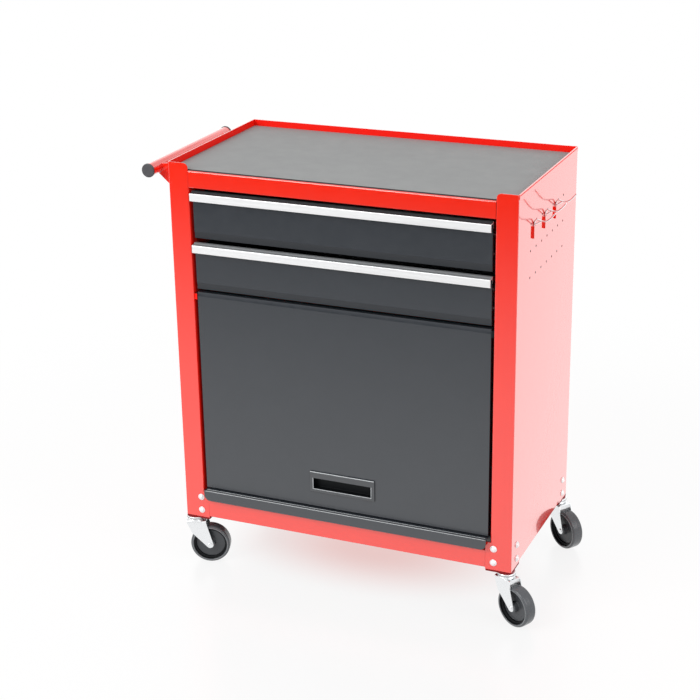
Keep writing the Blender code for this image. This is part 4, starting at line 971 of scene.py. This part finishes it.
@dataclass
class TuckDoor:
    """The door that swings up and slides back on its rollers, with its recessed pull."""

    slot_half: float = 0.0545
    slot_rise: float = 0.006
    slot_height: float = 0.0205
    lit_depth: float = 0.0004
    bead: float = 0.0008
    bead_proud: float = 0.00048
    edge_break: float = 0.0005
    forward: float = -0.8

    def build(self) -> None:
        """Makes the door's pieces."""
        finished("door_skin", welded_copy("door_panel"), CHARCOAL_ENAMEL, Body.DOOR.value, ["door_panel"])
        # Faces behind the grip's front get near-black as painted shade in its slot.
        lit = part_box("door_panel")[0][1] + self.lit_depth
        grip = marked(welded_copy("door_pull"), 1, lambda face: face.calc_center_median().y > lit)
        finished(
            "door_grip", grip, GRIP_PLASTIC, Body.DOOR.value, ["door_pull"],
            bevel=self.edge_break, more=(BLACK_SHADE,),
        )
        self.grip_beads()
        for side in SIDES:
            paint_node(f"door_roller_{side}", BRIGHT_ZINC)
            node = f"door_track_{side}"
            # Each track's forward faces are painted to match what lies behind them: shaded red at the left,
            # near-black at the right, as painted shade.
            track = marked(welded_copy(node), 1, lambda face: face.normal.y < self.forward)
            end = SHADED_RED if side == "left" else BLACK_SHADE
            finished(f"track_{side}", track, CHARCOAL_ENAMEL, Body.CABINET.value, [node], more=(end,))

    def grip_beads(self) -> None:
        """Raised beads in a pale grey on the grip, along its top edge and round three sides of its slot:
        painted highlights on those edges.
        """
        low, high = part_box("door_pull")
        middle, front = (low[0] + high[0]) / 2, low[1]
        left, right = middle - self.slot_half, middle + self.slot_half
        bottom = low[2] + self.slot_rise
        top = bottom + self.slot_height
        proud = front + self.bead_proud
        rim = [(left, proud, top), (left, proud, bottom), (right, proud, bottom), (right, proud, top)]
        edge = high[2] - self.bead
        crest = [(low[0] + self.bead, proud, edge), (high[0] - self.bead, proud, edge)]
        beads = gathered(wire(rim, self.bead, smooth=False), wire(crest, self.bead, smooth=False))
        finished("door_grip_highlight_beads", beads, PAINTED_HIGHLIGHT_GREY, Body.DOOR.value)


@dataclass
class HookRow:
    """Three bent wire hooks, each with a brace, in the right panel's sockets."""

    wire_radius: float = 0.0013
    main_line: tuple[Pair, ...] = (
        (0.0002, -0.018), (0.0002, -0.002), (0.0012, 0.0035), (0.0021, 0.0075),
        (0.0046, 0.0108), (0.0080, 0.0106), (0.0120, 0.0096), (0.0180, 0.0092), (0.0220, 0.0104),
        (0.0270, 0.0140), (0.0314, 0.0189), (0.0358, 0.0243),
    )
    brace_line: tuple[Pair, ...] = ((0.0019, 0.0026), (0.0065, 0.0050), (0.0124, 0.0092))

    def build(self) -> None:
        """Makes the hooks."""
        for name in ("front", "middle", "rear"):
            low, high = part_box(f"hook_{name}")
            panel = low[0] + self.wire_radius - self.main_line[0][0]
            along = (low[1] + high[1]) / 2
            level = low[2] - self.main_line[0][1]
            lines = []
            for line in (self.main_line, self.brace_line):
                lines.append(wire([(panel + out, along, level + up) for out, up in line], self.wire_radius))
            finished(f"wire_hook_{name}", gathered(*lines), BRIGHT_ZINC, Body.CABINET.value, [f"hook_{name}"])


@dataclass
class PushHandle:
    """The side handle: tube, domed caps and folded brackets."""

    radius: float = 0.011
    wall: float = 0.0015
    edge: float = 0.0012
    tube_edge: float = 0.0003
    bracket_edge: float = 0.0003
    plug_depth: float = 0.010
    plug_gap: float = 0.0003
    cap_wall: float = 0.0010
    dimple_share: float = 0.5
    dimple_depth: float = 0.0001

    def build(self) -> None:
        """Makes the handle's pieces."""
        low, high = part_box("handle_tube")
        centre = Vector([(near + far) / 2 for near, far in zip(low, high)])
        half = (high[1] - low[1]) / 2
        inner = self.radius - self.wall
        edge = self.tube_edge
        upper = [(self.radius, half - edge), (self.radius - edge, half)]
        upper += [(inner + edge, half), (inner, half - edge)]
        lower = [(out, -level) for out, level in reversed(upper)]
        tube = moved(lathe([*upper, *lower], closed=True), Matrix.Translation(centre) @ ALONG_Y)
        finished("push_tube", tube, RED_ENAMEL, Body.CABINET.value, ["handle_tube"])
        for end, side in ENDS.items():
            self.cap(end, centre, side)
        for end in ENDS:
            node = f"handle_bracket_{end}"
            finished(
                f"push_bracket_{end}", welded_copy(node), RED_ENAMEL, Body.CABINET.value, [node],
                bevel=self.bracket_edge,
            )

    def cap(self, end: str, centre: Vector, side: int) -> None:
        """Makes one end cap.

        Args:
            end: the end's name.
            centre: the tube's middle.
            side: -1 at the front, 1 at the rear.
        """
        low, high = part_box(f"handle_cap_{end}")
        face = high[1] - low[1] - self.plug_depth
        plug = self.radius - self.wall - self.plug_gap
        outer = self.radius + self.cap_wall
        profile = [(0.0, -self.plug_depth), (plug, -self.plug_depth), (plug, 0.0), (outer, 0.0)]
        profile += bend((outer - self.edge, face - self.edge), self.edge, 0, 90, CORNER_STEPS)
        profile += [(self.radius * self.dimple_share, face - self.dimple_depth), (0.0, face)]
        seat = high[1] - face if side > 0 else low[1] + face
        turn = Matrix.Rotation(-side * QUARTER_TURN, 4, "X")
        shape = moved(lathe(profile), Matrix.Translation((centre.x, seat, centre.z)) @ turn)
        finished(f"push_cap_{end}", shape, CAP_PLASTIC, Body.CABINET.value, [f"handle_cap_{end}"])


@dataclass
class Caster:
    """A swivel caster: race and stem, pressed fork, axle and dished wheel."""

    corner: str
    turn: float
    trail: float = 0.026
    wheel_radius: float = 0.036
    wheel_half: float = 0.011
    shoulder: float = 0.004
    shoulder_steps: int = 7
    tread_drop: float = 0.00015
    mould_line: Pair = (0.0003, 0.0008)
    ring_line: tuple[Pair, ...] = (
        (0.0326, 0.0), (0.0322, 0.0005), (0.0317, 0.0005), (0.0313, 0.0), (0.0309, 0.0), (0.0303, -0.0004),
        (0.0300, -0.0012),
    )
    web_line: tuple[Pair, ...] = (
        (0.0297, 0.0073), (0.0292, 0.0068), (0.0270, 0.0068), (0.0265, 0.0064), (0.0261, 0.0037),
        (0.0255, 0.0031), (0.0104, 0.0030), (0.0093, 0.0036), (0.0088, 0.0048),
    )
    hub_line: tuple[Pair, ...] = ((0.0085, -0.0005), (0.0080, 0.0), (0.0036, 0.0), (0.0033, -0.0003))
    hub_half: float = 0.0119
    web_radius: float = 0.0299
    web_level: float = 0.0076
    groove_shade: Pair = (0.0258, 0.0304)
    ring: Pair = (0.0312, 0.0324)
    stem_radius: float = 0.004
    thread_chamfer: float = 0.0006
    seat: float = 0.0914
    race_low: float = 0.0864
    race_edge: float = 0.0014
    race_foot: Pair = (0.004, 0.005)
    race_hollow: float = 0.0008
    pin_top: float = 0.0811
    pin_radius: float = 0.0075
    pin_foot: Pair = (0.0067, 0.0008)
    nut_radius: float = 0.0075
    nut_height: float = 0.0065
    nut_sides: int = 6
    nut_gap: float = 0.0036
    axle_radius: float = 0.003
    axle_seat: float = 0.0145
    axle_rim: float = 0.4
    axle_crown: Pair = (0.8, 0.4)
    axle_dome: float = 0.0002
    seam: Pair = (0.0883, 0.0891)
    seam_depth: float = 0.001
    seam_proud: float = 0.0001
    fork_edge: float = 0.0003

    def build(self) -> None:
        """Makes the caster's pieces."""
        name = f"caster_{self.corner}"
        low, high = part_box(f"{name}_stem")
        pivot = Vector(((low[0] + high[0]) / 2, (low[1] + high[1]) / 2, 0.0))
        swivel = Matrix.Translation(pivot) @ Matrix.Rotation(math.radians(self.turn), 4, "Z")
        hub = swivel @ Matrix.Translation((self.trail, 0, self.wheel_radius)) @ ALONG_Y
        stem = moved(self.stem(low, high), Matrix.Translation(pivot))
        finished(f"{name}_race", stem, BRIGHT_ZINC, Body.CABINET.value, [f"{name}_stem"])
        # A near-black ring round the race: painted shade in its seam.
        edge = (high[0] - low[0]) / 2
        inner, outer = edge - self.seam_depth, edge + self.seam_proud
        bottom, top = self.seam
        seam = lathe([(inner, bottom), (outer, bottom), (outer, top), (inner, top)], closed=True)
        finished(f"{name}_race_seam_shade", moved(seam, Matrix.Translation(pivot)), EDGE_SHADE_BLACK, Body.CABINET.value)
        finished(
            f"{name}_yoke", welded_copy(f"{name}_fork"), BRIGHT_ZINC, f"{name}_swivel", [f"{name}_fork"],
            bevel=self.fork_edge,
        )
        finished(f"{name}_pin", moved(self.axle(), hub), BRIGHT_ZINC, f"{name}_swivel", [f"{name}_axle"])
        # The web gets painted shade in a darker grey, the moulded ring a painted highlight in a paler grey,
        # and the groove painted shade in near-black.
        wheel = marked(self.wheel(), 1, self.is_web)
        for place, band in ((2, self.ring), (3, self.groove_shade)):
            marked(wheel, place, lambda face: band[0] < self.out_from_hub(face) < band[1])
        finished(
            f"{name}_tread", moved(wheel, hub), WHEEL_PLASTIC, f"{name}_roll", [f"{name}_wheel"],
            more=(WHEEL_WEB_SHADE, WHEEL_RING_HIGHLIGHT, BLACK_SHADE),
        )

    def is_web(self, face: Face) -> bool:
        """Tells the faces of the wheel's dished web, while it lies about its own middle.

        Args:
            face: a face of the wheel.

        Returns:
            True between the hub and the rim.
        """
        level = abs(face.calc_center_median().z)
        return self.stem_radius < self.out_from_hub(face) < self.web_radius and level < self.web_level

    @staticmethod
    def out_from_hub(face: Face) -> float:
        """How far a face of the wheel is from the axle."""
        middle = face.calc_center_median()
        return math.hypot(middle.x, middle.y)

    def stem(self, low: Triple, high: Triple) -> Shape:
        """The kingpin, race and threaded stem with its nut.

        Args:
            low: the CAD stem's lowest corner.
            high: its highest corner.

        Returns:
            The shape about the swivel axis.
        """
        race = (high[0] - low[0]) / 2
        top, base = high[2], low[2]
        radius, edge, chamfer = self.stem_radius, self.race_edge, self.thread_chamfer
        hollow = self.race_low + self.race_hollow
        foot_radius, foot_chamfer = self.pin_foot
        profile = [(0.0, top), (radius - chamfer, top), (radius, top - chamfer), (radius, self.seat)]
        profile += bend((race - edge, self.seat - edge), edge, 90, 0, CORNER_STEPS)
        profile += bend((race - edge, self.race_low + edge), edge, 0, -90, CORNER_STEPS)
        profile += [(race - self.race_foot[0], self.race_low), (race - self.race_foot[1], hollow)]
        profile += [(radius, hollow), (radius, self.pin_top), (self.pin_radius, self.pin_top)]
        profile += [(self.pin_radius, base + foot_chamfer), (foot_radius, base), (0.0, base)]
        nut = bmesh.new()
        bmesh.ops.create_cone(
            nut, cap_ends=True, cap_tris=False, segments=self.nut_sides, radius1=self.nut_radius,
            radius2=self.nut_radius, depth=self.nut_height,
        )
        lift = self.seat + self.nut_gap + self.nut_height / 2
        bmesh.ops.translate(nut, verts=nut.verts, vec=(0, 0, lift))
        return gathered(lathe(profile), nut)

    def axle(self) -> Shape:
        """The axle rivet with its two heads, along Z.

        Returns:
            The shape about the wheel's middle.
        """
        low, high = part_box(f"caster_{self.corner}_axle")
        turn = math.radians(self.turn)
        head = (high[2] - low[2]) / 2
        spread = (high[1] - low[1]) / 2
        reach = (spread - head * abs(math.sin(turn))) / abs(math.cos(turn))
        rim = self.axle_seat + (reach - self.axle_seat) * self.axle_rim
        upper = [(self.axle_radius, self.axle_seat), (head, self.axle_seat), (head, rim)]
        upper += [(head * self.axle_crown[0], reach - self.axle_dome), (head * self.axle_crown[1], reach)]
        upper.append((0.0, reach))
        lower = [(radius, -level) for radius, level in reversed(upper)]
        return lathe([*lower, *upper], steps=SMALL_STEPS)

    def wheel(self) -> Shape:
        """The dished wheel with a moulding line round its tread, along Z.

        Returns:
            The shape about the wheel's middle.
        """
        half, tread, shoulder = self.wheel_half, self.wheel_radius - self.tread_drop, self.shoulder
        upper = [(self.wheel_radius, self.mould_line[0]), (tread, self.mould_line[1])]
        upper += bend((tread - shoulder, half - shoulder), shoulder, 0, 90, self.shoulder_steps)
        upper += [(out, half + rise) for out, rise in self.ring_line]
        upper += self.web_line
        upper += [(out, self.hub_half + rise) for out, rise in self.hub_line]
        lower = [(out, -level) for out, level in reversed(upper)]
        return lathe([*upper, *lower], closed=True)


# Studio


@dataclass(frozen=True)
class Softbox:
    """A rectangular studio light that looks at a point."""

    name: str
    place: Triple
    target: Triple
    size: Pair
    watts: float

    def hang(self) -> None:
        """Puts the light in the scene."""
        data = bpy.data.lights.new(self.name, "AREA")
        data.shape = "RECTANGLE"
        data.size, data.size_y = self.size
        data.energy = self.watts
        lamp = placed(self.name, data)
        lamp.location = self.place
        lamp.rotation_euler = (Vector(self.target) - Vector(self.place)).to_track_quat("-Z", "Y").to_euler()
        lamp.visible_camera = False


@dataclass
class Studio:
    """White floor, white surroundings, soft lights and the photograph's camera."""

    floor_half: float = 12.0
    floor_cells: int = 8
    floor_grey: Colour = (0.86, 0.86, 0.86)
    polish_roughness: float = 0.28
    polish_share: float = 0.30
    own_white: float = 0.86
    white_span: Pair = (0.7, 1.5)
    shade_size: Pair = (0.36, 0.21)
    shade_span: Pair = (0.1, 0.9)
    shade_colour: Colour = (0.89, 0.64, 0.62)
    mirror_span: Pair = (-2.9, -0.3)
    mirror_low: float = 0.02
    fill: float = 0.5
    sensor: float = 36.0
    frame_pixels: float = 700.0
    focal_pixels: float = 1669.138
    place: Triple = (1.0558263, -2.5532137, 1.4499806)
    right: Triple = (0.92024721, 0.39104774, -0.01505755)
    down: Triple = (0.12674874, -0.33423754, -0.9339272)
    forward: Triple = (-0.37024292, 0.85753538, -0.35714597)
    far_clip: float = 100.0
    lights: tuple[Softbox, ...] = (
        Softbox("key", (-1.4, -2.4, 2.0), (0.0, 0.0, 0.4), (1.8, 1.8), 60.0),
        Softbox("side", (2.8, -0.6, 1.9), (0.0, 0.0, 0.4), (1.8, 1.8), 30.0),
        Softbox("top", (0.0, 0.2, 3.0), (0.0, 0.0, 0.0), (2.2, 2.2), 4.0),
        Softbox("floor_wash", (1.325, 1.75, 0.012), (1.325, 1.75, 3.0), (2.0, 3.6), 5.5),
        Softbox("backdrop", (-1.0, 3.6, 1.5), (-0.3, 0.0, 0.7), (5.0, 2.6), 16.0),
    )

    def build(self) -> None:
        """Sets up the whole studio."""
        bpy.context.scene.view_settings.view_transform = "Standard"
        self.surroundings()
        self.floor()
        for light in self.lights:
            light.hang()
        self.camera()

    def surroundings(self) -> None:
        """White where it is seen or mirrored, and a softer fill where it lights."""
        world = bpy.data.worlds.new("surroundings")
        world.use_nodes = True
        bpy.context.scene.world = world
        nodes = Wiring(world.node_tree)
        path = nodes.add("LightPath", {}).outputs
        seen = nodes.add("Math", {0: path["Is Camera Ray"], 1: path["Is Glossy Ray"]}, operation="MAXIMUM")
        through = nodes.add("Math", {0: seen.outputs[0], 1: path["Is Transmission Ray"]}, operation="MAXIMUM")
        level = nodes.add("MapRange", {"Value": through.outputs[0], "To Min": self.fill, "To Max": 1.0})
        background = world.node_tree.nodes["Background"]
        nodes.feed(background, {"Color": WHITE, "Strength": level.outputs["Result"]})

    def floor(self) -> None:
        """Puts a matt white floor under the cart."""
        bm = bmesh.new()
        bmesh.ops.create_grid(
            bm, x_segments=self.floor_cells, y_segments=self.floor_cells, size=self.floor_half,
        )
        mesh = bpy.data.meshes.new("floor")
        bm.to_mesh(mesh)
        bm.free()
        ground = placed("floor", mesh)
        mesh.materials.append(self.floor_material())

    def floor_material(self) -> bpy.types.Material:
        """A floor that shows white and keeps the cart's shadow, with a painted pink shadow and red reflection
        glowing under the cart and a painted pool of light that the cart's gloss reflects.

        Returns:
            The material.
        """
        material = bpy.data.materials.new("studio_floor")
        material.use_nodes = True
        material.node_tree.nodes.clear()
        nodes = Wiring(material.node_tree)
        place = nodes.add("TexCoord", {}).outputs["Object"]
        path = nodes.add("LightPath", {}).outputs
        matt = nodes.add("BsdfDiffuse", {"Color": (*self.floor_grey, 1.0)})
        polish = nodes.add("BsdfGlossy", {"Color": WHITE, "Roughness": self.polish_roughness})
        satin = nodes.mix(self.polish_share, matt, polish)

        # Under the cart the floor's glow turns pink and dimmer: a painted shadow and a painted red
        # reflection.
        scale = (1 / self.shade_size[0], 1 / self.shade_size[1], 0.0)
        under = nodes.add("VectorMath", {0: place, 1: scale}, operation="MULTIPLY")
        away = nodes.add("VectorMath", {0: under.outputs[0]}, operation="LENGTH")
        clear = nodes.rise(away.outputs["Value"], self.shade_span)
        shade = (*self.shade_colour, 1.0)
        painted_shade_tint = nodes.add("Mix", {MIX_FACTOR: clear, MIX_FIRST: shade, MIX_SECOND: WHITE}, data_type="RGBA")
        painted_shade_glow = nodes.add("Emission", {"Color": painted_shade_tint.outputs[MIX_RESULT]})
        lit = nodes.mix(self.own_white, satin, painted_shade_glow)

        reach = nodes.add("VectorMath", {0: place}, operation="LENGTH")
        far = nodes.rise(reach.outputs["Value"], self.white_span)
        near_far = nodes.mix(far, lit, nodes.add("Emission", {"Color": WHITE}))

        # In reflections the floor glows, full near the cart and fading almost to dark towards the front: a
        # painted pool of light.
        split = nodes.add("SeparateXYZ", {0: place})
        painted_light_fade = nodes.rise(split.outputs["Y"], self.mirror_span, self.mirror_low)
        mirrored = nodes.add("Emission", {"Strength": painted_light_fade})
        by_camera = nodes.mix(path["Is Camera Ray"], matt, near_far)
        by_gloss = nodes.mix(path["Is Glossy Ray"], by_camera, mirrored)
        nodes.add("OutputMaterial", {"Surface": by_gloss.outputs[0]})
        return material

    def camera(self) -> None:
        """The camera at the photograph's viewing angle, fitted to the cabinet's corners."""
        data = bpy.data.cameras.new("camera")
        data.sensor_width = self.sensor
        data.lens = self.focal_pixels * self.sensor / self.frame_pixels
        data.clip_end = self.far_clip
        camera = placed("camera", data)
        turn = Matrix((self.right, -Vector(self.down), -Vector(self.forward))).transposed()
        camera.matrix_world = Matrix.Translation(self.place) @ turn.to_4x4()
        bpy.context.scene.camera = camera


def main() -> None:
    """Dresses the cart and sets up the studio."""
    logging.basicConfig(level=logging.INFO, format="%(name)s: %(message)s")
    datum = Datum.read()
    CabinetShell(datum).build()
    TopMat().build()
    Drawer("upper", Body.UPPER_DRAWER, PAINTED_SHADOW_ALUMINIUM).build()
    Drawer("lower", Body.LOWER_DRAWER, SHADED_ALUMINIUM).build()
    TuckDoor().build()
    HookRow().build()
    PushHandle().build()
    for corner, turn in CASTER_TURNS.items():
        Caster(corner, turn).build()
    Studio().build()


if __name__ == "__main__":
    main()
